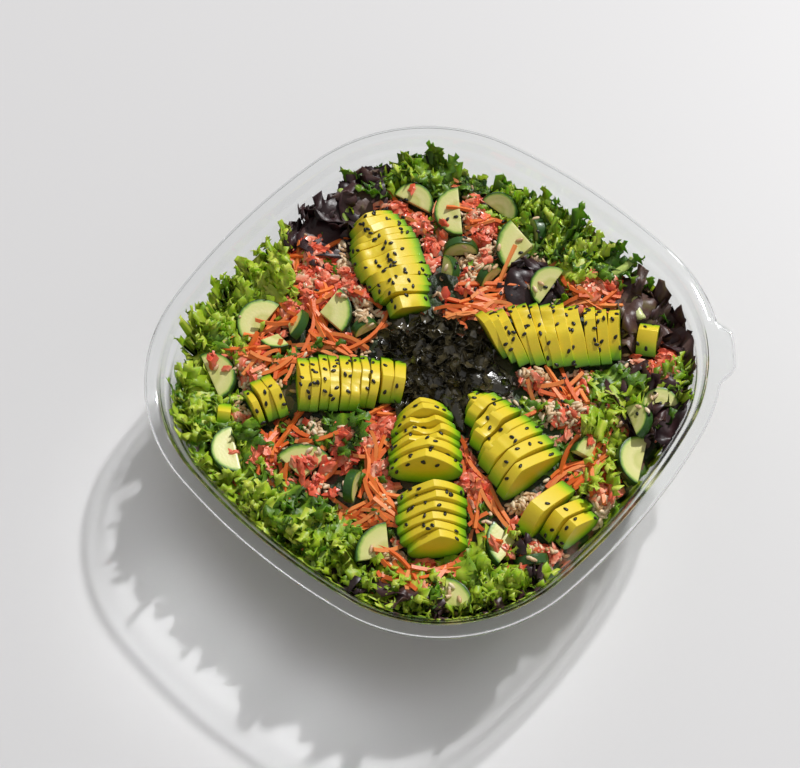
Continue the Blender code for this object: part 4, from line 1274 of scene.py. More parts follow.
@dataclass
class LooseSalad:
    """The leaves, shreds, grains and seeds that lie loose on the bed."""

    tub: TubForm
    ground: Ground
    draw: random.Random
    reach: float = 132
    dense: int = 9
    highest: float = 84 * MM
    lowest: float = 25 * MM

    def __post_init__(self) -> None:
        """Model each kind of piece once."""
        self.bar = self.carrot()
        self.grain = self.ball((5.2 * MM, 2.5 * MM, 2.3 * MM), 5, 6)
        self.flakes = [self.flake(number) for number in range(8)]
        self.kinds = {kind: Gathering() for kind in Kind}

    def carrot(self) -> Mesh:
        """A bar with blunt ends, modelled straight along X with a length of 1.

        Returns:
            The bar's mesh.
        """
        deselect()
        bpy.ops.mesh.primitive_cube_add(size=1.0)
        bar = bpy.context.object
        bar.data.transform(Matrix.Diagonal((1.0, 2.2 * MM, 1.8 * MM, 1.0)))
        bpy.ops.object.mode_set(mode="EDIT")
        bpy.ops.mesh.select_all(action="DESELECT")
        bpy.ops.mesh.select_mode(type="EDGE")
        bpy.ops.object.mode_set(mode="OBJECT")
        for edge in bar.data.edges:
            ends = [bar.data.vertices[k].co for k in edge.vertices]
            edge.select = abs(ends[0].x - ends[1].x) > 0.5
        bpy.ops.object.mode_set(mode="EDIT")
        bpy.ops.mesh.subdivide(number_cuts=6)
        bpy.ops.object.mode_set(mode="OBJECT")
        return modelled("carrot", bar)

    def ball(self, size: tuple, rings: int, segments: int, taper: float = 0.0) -> Mesh:
        """A rounded grain along X.

        Args:
            size: Its length, width and height.
            rings: Rings along it.
            segments: Points round it.
            taper: How much thinner its far end is.

        Returns:
            The grain's mesh.
        """
        deselect()
        bpy.ops.mesh.primitive_uv_sphere_add(segments=segments, ring_count=rings, radius=0.5)
        grain = bpy.context.object
        grain.data.transform(Matrix.Rotation(math.pi / 2, 4, "Y"))
        for vert in grain.data.vertices:
            slim = 1 - taper * (vert.co.x + 0.5)
            vert.co = Vector((vert.co.x * size[0], vert.co.y * size[1] * slim, vert.co.z * size[2] * slim))
        mesh = modelled("grain", grain)
        return Mesh(mesh.points, in_order(mesh.faces))

    def flake(self, number: int) -> Mesh:
        """A ragged flake of crab meat along X, about 1 long.

        Args:
            number: Which flake, as each is ragged in its own way.

        Returns:
            The flake's mesh.
        """
        deselect()
        bpy.ops.mesh.primitive_ico_sphere_add(subdivisions=2, radius=0.5)
        flake = bpy.context.object
        for vert in flake.data.vertices:
            x, y, z = vert.co
            ragged = 1 + 1.3 * noise.noise(vert.co * 4.3 + Vector((0, 0, 9 * number)))
            fibre = 1 + 0.9 * noise.noise(Vector((x * 1.2, y * 11, z * 11 + number)))
            vert.co = Vector((x * ragged, y * 0.5 * ragged * fibre, z * 0.42 * fibre))
        mesh = modelled("flake", flake)
        mesh.values["tone"] = 0.55 + 0.5 * (mesh.points[:, 1] / np.abs(mesh.points[:, 1]).max())
        return mesh

    def spots(self, rows: Sequence[Patch]) -> list:
        """Places of all the pieces of some patches, in a mixed order.

        A dense patch has a second piece beside each of its pieces.

        Args:
            rows: The patches.

        Returns:
            Pairs of a patch and a place, in metres.
        """
        made = []
        for patch in rows:
            for _ in range(patch.count):
                x = self.draw.gauss(patch.x + SEEN_SHIFT[0], patch.spread) * MM
                y = self.draw.gauss(patch.y + SEEN_SHIFT[1], patch.spread) * MM
                made.append((patch, x, y))
                if patch.count > self.dense:
                    made.append((patch, x + self.draw.gauss(0, 3) * MM, y + self.draw.gauss(0, 3) * MM))
        self.draw.shuffle(made)
        return made

    def everywhere(self, count: int) -> list:
        """Places all over the salad, in metres."""
        values = [self.draw.uniform(-self.reach, self.reach) * MM for _ in range(2 * count)]
        return list(zip(values[::2], values[1::2]))

    def heading(self, patch: Patch, spread: float) -> float:
        """Heading of a piece in a patch, in radians."""
        if patch.heading is None:
            return self.draw.uniform(0, 2 * math.pi)
        return math.radians(self.draw.gauss(patch.heading, spread))

    def lay(
        self, into: Gathering, mesh: Mesh, x: float, y: float, turn: float, tip: float, lift: float,
        tone: Optional[float] = None, cling: float = 0.7,
    ) -> None:
        """Lay one piece and gather it where it fits.

        Args:
            into: The gathering of its kind.
            mesh: The piece round the origin.
            x: Place on the plan.
            y: Place on the plan.
            turn: Its turn, in radians.
            tip: Its tilt along its length, in radians.
            lift: Height of its middle over the ground.
            tone: A value for its colour, where it has none.
            cling: How far it raises the ground.
        """
        placed = laid(mesh, self.ground, self.tub, x, y, turn, tip, lift, cling)
        if placed is not None:
            into.add(placed, **({} if tone is None else {"tone": tone}))

    def bent(self, bar: Mesh, length: float, curve: float) -> Mesh:
        """A carrot shred of a length, bent into an arc."""
        points = bar.points.copy()
        along = points[:, 0]
        points[:, 1] += curve * (along ** 2 - 0.08)
        points[:, 2] += abs(curve) * 0.25 * (0.25 - along ** 2)
        points[:, 0] = along * length
        return Mesh(points, bar.faces, {})

    def jobs(self, layers: int, rice: int, crab: int, carrot: int) -> list:
        """Kinds and places of a layer of rice, crab and carrot, in a mixed order.

        Args:
            layers: How often the patches of rice and crab are laid.
            rice: Grains all over the salad.
            crab: Flakes all over the salad.
            carrot: Shreds all over the salad.

        Returns:
            Pairs of a kind and a spot.
        """
        loose = Patch(0, 0, 0, 0)
        made = []
        for kind, rows in ((Kind.RICE, RICE_PATCHES), (Kind.CRAB, CRAB_PATCHES)):
            for _ in range(layers):
                made += [(kind, spot) for spot in self.spots(rows)]
        for kind, count in ((Kind.RICE, rice), (Kind.CRAB, crab), (Kind.CARROT, carrot)):
            made += [(kind, (loose, *place)) for place in self.everywhere(count)]
        self.draw.shuffle(made)
        return made

    def under_jobs(self) -> list:
        """What lies under the leaves."""
        return self.jobs(1, 1100, 300, 160)

    def over_jobs(self) -> list:
        """What lies over the leaves, with the carrot patches on top."""
        made = self.jobs(2, 420, 50, 110)
        for _ in range(2):
            made += [(Kind.CARROT, spot) for spot in self.spots(CARROT_PATCHES)]
        return made

    def shreds(self, jobs: Sequence[tuple]) -> None:
        """Lay rice, crab and carrot.

        Args:
            jobs: Kinds with their patches and places.
        """
        draw = self.draw
        for kind, (patch, x, y) in jobs:
            into = self.kinds[kind]
            if kind is Kind.RICE:
                turn, tip, tone = draw.uniform(0, 6.3), draw.gauss(0, 0.3), draw.uniform(0, 1)
                self.lay(into, self.grain, x, y, turn, tip, 0.8 * MM, tone)
            elif kind is Kind.CRAB:
                size = draw.uniform(5.0, 11.0) * MM
                flake = draw.choice(self.flakes)
                tone = np.clip(flake.values["tone"] * 0.55 + draw.uniform(-0.05, 0.5), 0, 1)
                shaped = Mesh(flake.points * size, flake.faces, {"tone": tone})
                place = (x + draw.gauss(0, 1.5) * MM, y + draw.gauss(0, 1.5) * MM)
                self.lay(into, shaped, *place, draw.uniform(0, 6.3), draw.gauss(0, 0.4), 1.2 * MM)
            else:
                length = draw.uniform(13, 40) * MM
                shred = self.bent(self.bar, length, draw.uniform(-20, 20) * MM * length / (30 * MM))
                turn, tip, tone = self.heading(patch, 26), draw.gauss(0, 0.10), draw.uniform(0.1, 0.9)
                self.lay(into, shred, x, y, turn, tip, 1.4 * MM, tone, 0.85)

    def leaves(
        self, rows: Sequence[Patch], form: LeafForm, tone_low: float, tone_high: float, lift: float
    ) -> Mesh:
        """Lay leaves that point the way of their patches and follow salad and wall.

        Args:
            rows: The patches.
            form: The leaf.
            tone_low: Least added tone.
            tone_high: Greatest added tone.
            lift: Height of the root over the ground.

        Returns:
            The leaves' open sheets.
        """
        made = Gathering()
        for patch, x, y in self.spots(rows):
            turn, tone = self.heading(patch, 34), self.draw.uniform(tone_low, tone_high)
            self.leaf(made, form, x, y, turn, tone, lift)
        return made.joined()

    def scraps(self, count: int) -> Mesh:
        """Small leaves all over the salad, as open sheets."""
        made = Gathering()
        for x, y in self.everywhere(count):
            # Tones are drawn low: painted shade for leaves that lie between and under the other pieces, on
            # top of random differences in tone
            turn, tone = self.draw.uniform(0, 6.3), self.draw.uniform(-0.5, 0.1)
            self.leaf(made, SCRAP, x, y, turn, tone, 0.0)
        return made.joined()

    def leaf(
        self, into: Gathering, form: LeafForm, x: float, y: float, turn: float, tone: float, lift: float
    ) -> None:
        """Lay one leaf, with what is under a topping tucked into the bed.

        Args:
            into: The gathering of its kind.
            form: The leaf.
            x: Place of its middle.
            y: Place of its middle.
            turn: Its heading, in radians.
            tone: Added tone.
            lift: Height of the root over the ground.
        """
        sheet = form.frond(self.draw)
        roll = Matrix.Rotation(self.draw.gauss(0, 0.3), 4, "X")
        back = Matrix.Translation((-form.length * 0.45, 0, 0))
        sheet = sheet.moved(Matrix.Translation((x, y, 0)) @ Matrix.Rotation(turn, 4, "Z") @ roll @ back)
        points = sheet.points
        under = self.ground.on_topping(points)
        if under.mean() > 0.35:
            return
        cells = self.ground.cells(points)
        ground = self.ground.height[cells]
        usable = ground > 0
        base = np.median(ground[usable]) if usable.any() else 0.05
        level = np.where(usable, ground * 0.75 + base * 0.25, base)
        points[:, 2] = np.maximum(points[:, 2] + level + lift, np.where(usable, ground + 0.2 * MM, 0))
        hidden = under & (self.ground.bed[cells] > 0)
        points[:, 2] = np.where(hidden, self.ground.bed[cells] - 0.5 * MM, points[:, 2])
        points[:, 2] = np.clip(points[:, 2], self.lowest, self.highest)
        points = self.tub.kept_inside(points, 0.4 * MM)
        values = {"tone": np.clip(sheet.values["tone"] + tone, 0, 1)}
        into.add(Mesh(points, sheet.faces, values))
        self.ground.cover(points[~under], 0.25)


class PressedSalad:
    """Pieces that lie flat on the inside of the wall, seen through it."""

    def __init__(self, loose: LooseSalad, draw: random.Random) -> None:
        """Measure the wall.

        Args:
            loose: The kinds of pieces and their gatherings.
            draw: The random draw.
        """
        self.loose = loose
        self.draw = draw
        ring = loose.tub.outline(9 * MM, 0.0, 30, 30)[:, :2]
        self.ring = np.concatenate([ring, ring[:1]])
        self.along = np.concatenate([[0.0], np.linalg.norm(np.diff(self.ring, axis=0), axis=1).cumsum()])

    def press(self, mesh: Mesh, start: float, height: float, flatness: float = 0.0) -> Mesh:
        """Lay one piece on the wall.

        Args:
            mesh: The piece on the plan, round the origin.
            start: Its place along the wall.
            height: Its height.
            flatness: How much of the piece's own thickness it keeps.

        Returns:
            The piece on the wall.
        """
        turn = Matrix.Rotation(self.draw.uniform(0, 2 * math.pi), 4, "Z")
        flat = mesh.moved(turn).points
        spot = np.mod(start + flat[:, 0], self.along[-1])
        z = np.clip(height + flat[:, 1], 4 * MM, 64 * MM)
        plan = [np.interp(spot, self.along, self.ring[:, axis]) for axis in (0, 1)]
        gap = -self.draw.uniform(0.40, 0.62) * MM + np.clip(flat[:, 2] * flatness, -0.2 * MM, 0.2 * MM)
        return Mesh(self.loose.tub.kept_inside(np.stack([*plan, z], 1), gap), mesh.faces, mesh.values)

    def leaves(self) -> Mesh:
        """Leaves all round the wall, as open sheets."""
        made = Gathering()
        for row, height in enumerate((11, 22, 33, 43, 52)):
            count = 20 + 2 * row
            for number in range(count):
                sheet = PRESSED.frond(self.draw).moved(Matrix.Translation((-PRESSED.length / 2, 0, 0)))
                start = (number + self.draw.uniform(-0.5, 0.5)) / count * self.along[-1]
                placed = self.press(sheet, start, (height + self.draw.uniform(-4, 4)) * MM)
                tone = np.clip(sheet.values["tone"] + self.draw.uniform(-0.3, 0.25), 0, 1)
                made.add(Mesh(placed.points, placed.faces, {"tone": tone}))
        return made.joined()

    def shreds(self, rice: int = 420, crab: int = 150, carrot: int = 60) -> None:
        """Rice, crab and carrot all round the wall, which join the loose ones."""
        loose, draw = self.loose, self.draw
        for kind, count in ((Kind.RICE, rice), (Kind.CRAB, crab), (Kind.CARROT, carrot)):
            for _ in range(count):
                if kind is Kind.RICE:
                    piece = loose.grain
                elif kind is Kind.CRAB:
                    flake = draw.choice(loose.flakes)
                    piece = Mesh(flake.points * draw.uniform(6, 12) * MM, flake.faces)
                else:
                    piece = loose.bent(loose.bar, draw.uniform(12, 30) * MM, draw.uniform(-9, 9) * MM)
                placed = self.press(piece, draw.uniform(0, self.along[-1]), draw.uniform(8, 56) * MM, 0.2)
                loose.kinds[kind].add(Mesh(placed.points, placed.faces), tone=draw.uniform(0.15, 0.95))


def leaf_object(name: str, mesh: Mesh, finish: Flesh, thickness: float) -> None:
    """An object of leaves, each given a thickness.

    Args:
        name: The object's name.
        mesh: The leaves' open sheets.
        finish: What gives its material.
        thickness: How thick the leaves are.
    """
    made = make_object(name, mesh, finish, ["salad"])
    solid = made.modifiers.new("Thickness", "SOLIDIFY")
    solid.thickness = thickness
    solid.offset = 0.0
    deselect()
    bpy.context.view_layer.objects.active = made
    made.select_set(True)
    bpy.ops.object.modifier_apply(modifier=solid.name)


# Stems


# Place, heading in degrees, length, width, rise in degrees and tone of each stem, in millimetres
STEMS = (
    (-66, 100, 66, 34, 10, 12, 0.6), (-106, 44, 140, 30, 6, 14, 0.35), (40, 112, 78, 26, 6, 14, 0.6),
    (56, 122, 318, 22, 8, 8, 1.0), (28, -104, 268, 34, 7, 6, 0.3), (86, -82, 14, 32, 5, 6, 0.4),
    (-108, -58, 300, 16, 6, 6, 0.3), (-98, 30, 50, 14, 6, 6, 0.8), (-92, 92, 200, 26, 4, 4, 0.5),
    (104, -48, 40, 20, 5, 8, 0.9), (-6, -108, 250, 22, 4, 4, 0.5), (-44, 58, 60, 16, 4, 6, 0.6),
)


@dataclass
class Stems:
    """Thick ribs and stalks that stick out of the salad."""

    tub: TubForm
    ground: Ground
    sides: int = 12
    stations: int = 12

    def build(self) -> Mesh:
        """Build the stems.

        Returns:
            Their mesh.
        """
        made = Gathering()
        draw = random.Random(SEED + 5)
        for x, y, heading, length, width, rise, tone in STEMS:
            root = np.array([[x * MM, y * MM, 0.0]])
            height = self.ground.height[self.ground.cells(root)][0]
            angle = 2 * np.pi * np.arange(self.sides) / self.sides
            rings = []
            for part in np.linspace(0, 1, self.stations):
                girth = (1.0 - 0.30 * part) * (1 + 0.05 * draw.uniform(-1, 1))
                ridge = 1 + 0.07 * np.cos(5 * angle)
                radius = width / 2 * MM * girth * ridge
                arch = 1.2 * MM * math.sin(math.pi * part)
                sway = 1.0 * MM * math.sin(2.2 * math.pi * part)
                along = np.full(self.sides, length * part * MM)
                across, up = radius * np.cos(angle) + sway, radius * 0.72 * np.sin(angle) + arch
                rings.append(np.stack([along, across, up], 1))
            poles = [rings[0].mean(0) - [0.5 * MM, 0, 0], rings[-1].mean(0) + [0.2 * MM, 0, 0]]
            frame = Matrix.Translation((x * MM, y * MM, height + 1.5 * MM))
            frame = frame @ Matrix.Rotation(math.radians(heading), 4, "Z")
            mesh = loft(rings, *poles).moved(frame @ Matrix.Rotation(math.radians(-rise), 4, "Y"))
            mesh.points = self.tub.kept_inside(mesh.points, 0.4 * MM)
            if self.ground.on_topping(mesh.points).mean() > 0.1:
                continue
            tones = np.clip(np.linspace(tone - 0.25, tone, len(mesh.points)), 0, 1)
            made.add(Mesh(mesh.points, mesh.faces, {"tone": tones}))
            self.ground.cover(mesh.points, 0.8)
        return made.joined()


# Avocado


@dataclass(frozen=True)
class AvocadoRow:
    """A row of slices cut across a piece of avocado that lies on its skin side, in millimetres."""

    name: str
    x: float
    y: float
    heading: float
    count: int
    pitches: tuple
    widths: tuple
    height: float
    lean: float
    skew: tuple
    ridge: float
    stone: float
    sesame: int

    def three_way(self, part: float) -> float:
        """Width at a share of the row."""
        first, middle, last = self.widths
        bend = middle - (first + last) / 2
        return first + (last - first) * part + bend * 4 * part * (1 - part)

    def outline(self, half_width: float, height: float, stone: float, draw: random.Random) -> tuple:
        """Outline of a slice across the row, and how deep in the flesh each point is.

        Args:
            half_width: Half the slice's width.
            height: Its height.
            stone: Depth of the stone's hollow, as a share of the height.
            draw: The random draw.

        Returns:
            The outline's points and the skin's points.
        """
        angle = np.linspace(0, math.pi, 15)
        skin_v = -np.cos(angle) * (1 - 0.02 * np.sin(3 * angle))
        skin_w = 0.37 * (1 - np.sin(angle) ** 0.75)
        flank = np.linspace(0, 1, 11)[1:-1]
        top = self.ridge + draw.uniform(-0.06, 0.06)
        swell = 0.045 * np.sin(np.pi * flank)
        right = np.stack([1 + (top + 0.07 - 1) * flank + swell, 0.37 + 0.62 * flank + swell], 1)
        left = np.stack([top - 0.07 + (-1 - top + 0.07) * flank - swell, 0.99 - 0.62 * flank + swell], 1)
        crown = np.array([[top + 0.05, 0.985], [top, 1.0], [top - 0.05, 0.985]])
        points = np.concatenate([np.stack([skin_v, skin_w], 1), right, crown, left])
        if stone > 0:
            away = np.clip(np.abs(points[:, 0] - top) / 0.42, 0, 1)
            upper = points[:, 1] > 0.42
            dip = stone * (1 - away ** 2) ** 1.5
            points[:, 1] -= np.where(upper, dip * np.clip((points[:, 1] - 0.42) / 0.5, 0, 1), 0)
        points *= (half_width, height)
        return points, points[:15]

    def slice_mesh(
        self, thickness: float, points: np.ndarray, skin: np.ndarray, draw: random.Random
    ) -> Mesh:
        """One slice as a closed plate with rounded edges, its thickness along X.

        Args:
            thickness: How thick it is.
            points: Its outline.
            skin: The outline's skin side.
            draw: The random draw.

        Returns:
            The slice's mesh, with the depth of its points under the skin.
        """
        middle = np.array([points[:, 0].mean(), points[:, 1].max() * 0.3])
        half, rounding = thickness / 2, 0.30 * MM
        stations = [(-half, 0.35), (-half, 0.72), (-half, 0.972), (-half + rounding, 0.992)]
        stations += [(half - rounding, 1.0), (half, 0.982), (half, 0.72), (half, 0.35)]
        rings = []
        phase = draw.uniform(0, 6.28)
        for x, share in stations:
            ring = middle + (points - middle) * share
            wobble = 0.22 * MM * np.sin(ring[:, 0] / (4.5 * MM) + phase + ring[:, 1] / (7 * MM))
            rings.append(np.column_stack([x + wobble, ring]))
        mesh = loft(rings, np.array([-half, *middle]), np.array([half, *middle]))
        flat = mesh.points[:, 1:]
        start, end = skin[:-1], skin[1:]
        span = end - start
        share = np.clip(((flat[:, None] - start) * span).sum(-1) / (span ** 2).sum(-1), 0, 1)
        away = np.linalg.norm(flat[:, None] - (start + share[..., None] * span), axis=-1).min(1)
        mesh.values["depth"] = np.clip(away / (11 * MM), 0, 1)
        return mesh

    def build(self, tree: BVHTree, draw: random.Random) -> Mesh:
        """Build the row's slices, bedded where the node is.

        Args:
            tree: The plain dome that the row rests on.
            draw: The random draw, shared by all rows.

        Returns:
            The row's mesh.
        """
        lean, heading = math.radians(self.lean), math.radians(self.heading)
        own = random.Random(self.name)
        slices = Gathering()
        travel = 0.0
        cuts = np.array([own.uniform(0.72, 1.28) for _ in range(self.count)])
        cuts *= self.count / cuts.sum()
        for number, cut in enumerate(cuts):
            part = number / max(1, self.count - 1)
            pitch = (self.pitches[0] + (self.pitches[1] - self.pitches[0]) * part) * cut * MM
            half_width = self.three_way(part) / 2 * MM
            height = min(self.height * MM, half_width * 1.15 + 2 * MM) * draw.uniform(0.95, 1.03)
            stone = self.stone * max(0.0, math.sin(math.pi * part) - 0.45)
            points, skin = self.outline(half_width, height, stone, own)
            mesh = self.slice_mesh(pitch * math.cos(lean) - 0.25 * MM, points, skin, own)
            side = draw.uniform(-1.1, 1.1) * MM
            skew = self.skew[0] + (self.skew[1] - self.skew[0]) * part
            turn = Matrix.Rotation(math.radians(skew + draw.uniform(-2.5, 2.5)), 4, "Z")
            tilt = Matrix.Rotation(-lean, 4, "Y")
            slices.add(mesh.moved(Matrix.Translation((travel, side, 0)) @ turn @ tilt))
            travel += pitch
        along = Vector((math.cos(heading), math.sin(heading), 0))
        start = Vector((self.x, self.y, 0)) * MM
        end = start + along * travel
        rise = (height_on(tree, end.x, end.y) or 57 * MM) - height_on(tree, start.x, start.y)
        slope = math.atan2(rise, max(travel, 20 * MM))
        frame = Matrix.Translation(start) @ Matrix.Rotation(heading, 4, "Z")
        row = slices.joined().moved(frame @ Matrix.Rotation(-slope, 4, "Y"))
        row.points[:, 2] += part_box(self.name)[0].z - row.points[:, 2].min()
        return row


AVOCADOS = tuple(AvocadoRow(f"avocado_{place}", *sizes) for place, *sizes in (
    ("back_left", -38, 23, 150, 12, (7.2, 5.0), (26, 44, 28), 21, 14, (-6, 8), 0.30, 0.5, 58),
    ("back_right", 15, 39, 42, 12, (6.0, 7.2), (34, 43, 34), 22, 14, (26, -4), 0.25, 0.5, 62),
    ("back_right_end", 84, 99, 30, 1, (12, 12), (22, 22, 22), 15, 10, (0, 0), 0.1, 0, 4),
    ("right", 32, 1, -17, 9, (5.4, 8.8), (12, 36, 44), 21, 14, (16, 6), -0.25, 0.5, 24),
    ("right_slice", 105, -26, -14, 1, (10, 10), (40, 40, 40), 21, 8, (10, 10), -0.25, 0, 2),
    ("right_end", 118, -22, -14, 2, (8, 7), (34, 32, 28), 18, 12, (6, 6), -0.2, 0, 9),
    ("front_right", 17, -29, -45, 7, (5.0, 7.0), (30, 40, 42), 21, 26, (6, -4), 0.05, 0.6, 30),
    ("front_right_end", 52, -64, -43, 6, (5.6, 6.2), (38, 40, 34), 20, 22, (0, 0), 0.1, 0, 20),
    ("front_left", -11, -21, 220, 10, (5.6, 7.0), (28, 36, 35), 20, 16, (-4, 4), 0.2, 0.4, 38),
    ("front_left_end", -61, -72, 246, 3, (6.2, 5.6), (30, 29, 26), 18, 12, (0, 0), 0.1, 0, 9),
    ("front_left_tip", -79, -97, 215, 1, (8, 8), (15, 15, 15), 11, 10, (0, 0), 0.1, 0, 0),
))


# Cucumber


@dataclass(frozen=True)
class CucumberPiece:
    """A part of a cucumber round, tilted and laid on the salad, in millimetres and degrees."""

    x: float
    y: float
    facing: float
    radius: float
    cut: Cut
    tilt: float
    toward: float
    thickness: float = 5.5

    def build(self, node: str, draw: random.Random) -> Mesh:
        """Build the piece where its node is.

        Args:
            node: The node that it stands for.
            draw: The random draw.

        Returns:
            The piece's mesh, with the share of the radius at its points.
        """
        radius, half = self.radius * MM, self.thickness / 2 * MM
        sweep = math.radians(self.cut.value)
        angle = np.linspace(-sweep / 2, sweep / 2, 23)
        arc = np.stack([radius * np.cos(angle), radius * np.sin(angle)], 1)
        arc *= (1 + 0.012 * np.sin(3 * angle + draw.uniform(0, 6)))[:, None]
        if self.cut is Cut.HALF:
            chord = np.stack([np.zeros(9), np.linspace(arc[-1, 1], arc[0, 1], 11)[1:-1]], 1)
        else:
            down = arc[-1] * np.linspace(1, 0, 7)[1:, None]
            up = arc[0] * np.linspace(0, 1, 7)[1:-1, None]
            chord = np.concatenate([down, up])
        outline = np.concatenate([arc, chord])
        middle = outline.mean(0)
        shares = [(0.30, -0.10), (0.55, 0.0), (0.78, 0.05), (0.93, 0.0), (0.985, -0.12), (1.0, -0.45)]
        levels = [(share, -half - lift * MM) for share, lift in shares]
        levels += [(share, half + lift * MM) for share, lift in reversed(shares)]
        rings = []
        for share, level in levels:
            plan = middle + (outline - middle) * share
            rings.append(np.column_stack([plan, np.full(len(outline), level)]))
        mesh = loft(rings, np.array([*middle, -half]), np.array([*middle, half]))
        mesh.values["radial"] = np.hypot(mesh.points[:, 0], mesh.points[:, 1]) / radius
        shift = (0.42 if self.cut is Cut.HALF else 0.6) * radius
        toward = math.radians(self.toward)
        axis = Vector((-math.sin(toward), math.cos(toward), 0))
        spin = Matrix.Rotation(math.radians(self.facing), 4, "Z")
        if self.tilt == UPRIGHT:
            spin = Matrix.Rotation(toward + math.pi, 4, "Z")
        tilt = Matrix.Rotation(math.radians(self.tilt), 4, axis)
        place = Matrix.Translation((self.x * MM, self.y * MM, 0))
        mesh = mesh.moved(place @ tilt @ spin @ Matrix.Translation((-shift, 0, 0)))
        mesh.points[:, 2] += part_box(node)[0].z - mesh.points[:, 2].min()
        return mesh


CUCUMBERS = tuple(CucumberPiece(*sizes) for sizes in (
    (-63, 91, 225, 16, Cut.HALF, 12, 315), (-88, 89, 100, 13, Cut.HALF, 18, 300),
    (-42, 76, 60, 11, Cut.HALF, UPRIGHT, 315), (-18, 96, 215, 22, Cut.QUARTER, 10, 300),
    (-42, 118, 90, 12, Cut.HALF, 42, 290), (-15, 119, 50, 10, Cut.HALF, UPRIGHT, 235),
    (14, 87, 185, 13, Cut.HALF, 22, 330), (-16, 71, 90, 9, Cut.HALF, UPRIGHT, 355),
    (-36, 60, 60, 11, Cut.QUARTER, 50, 240), (122, 31, 205, 15, Cut.HALF, 22, 30),
    (112, 52, 60, 12, Cut.HALF, 45, 210), (112, 72, 130, 11, Cut.HALF, 12, 330),
    (98, 18, 160, 13, Cut.QUARTER, 40, 20), (-68, -6, 45, 19, Cut.QUARTER, 10, 300),
    (-50, -4, 90, 8, Cut.HALF, UPRIGHT, 340), (-107, -40, 185, 16, Cut.HALF, 14, 0),
    (-81, -28, 20, 13, Cut.QUARTER, 45, 200), (-84, -46, 300, 12, Cut.QUARTER, 20, 120),
    (-97, -80, 65, 15, Cut.HALF, 12, 300), (-60, -115, 235, 15, Cut.HALF, 14, 60),
    (-21, -90, 130, 20, Cut.QUARTER, 12, 310), (12, -85, 90, 10, Cut.HALF, UPRIGHT, 25),
    (44, -104, 185, 19, Cut.QUARTER, 20, 0), (97, -59, 225, 17, Cut.QUARTER, 14, 45),
    (98, -95, 80, 15, Cut.QUARTER, 8, 290), (117, -54, 90, 10, Cut.HALF, UPRIGHT, 140),
))


# Nori


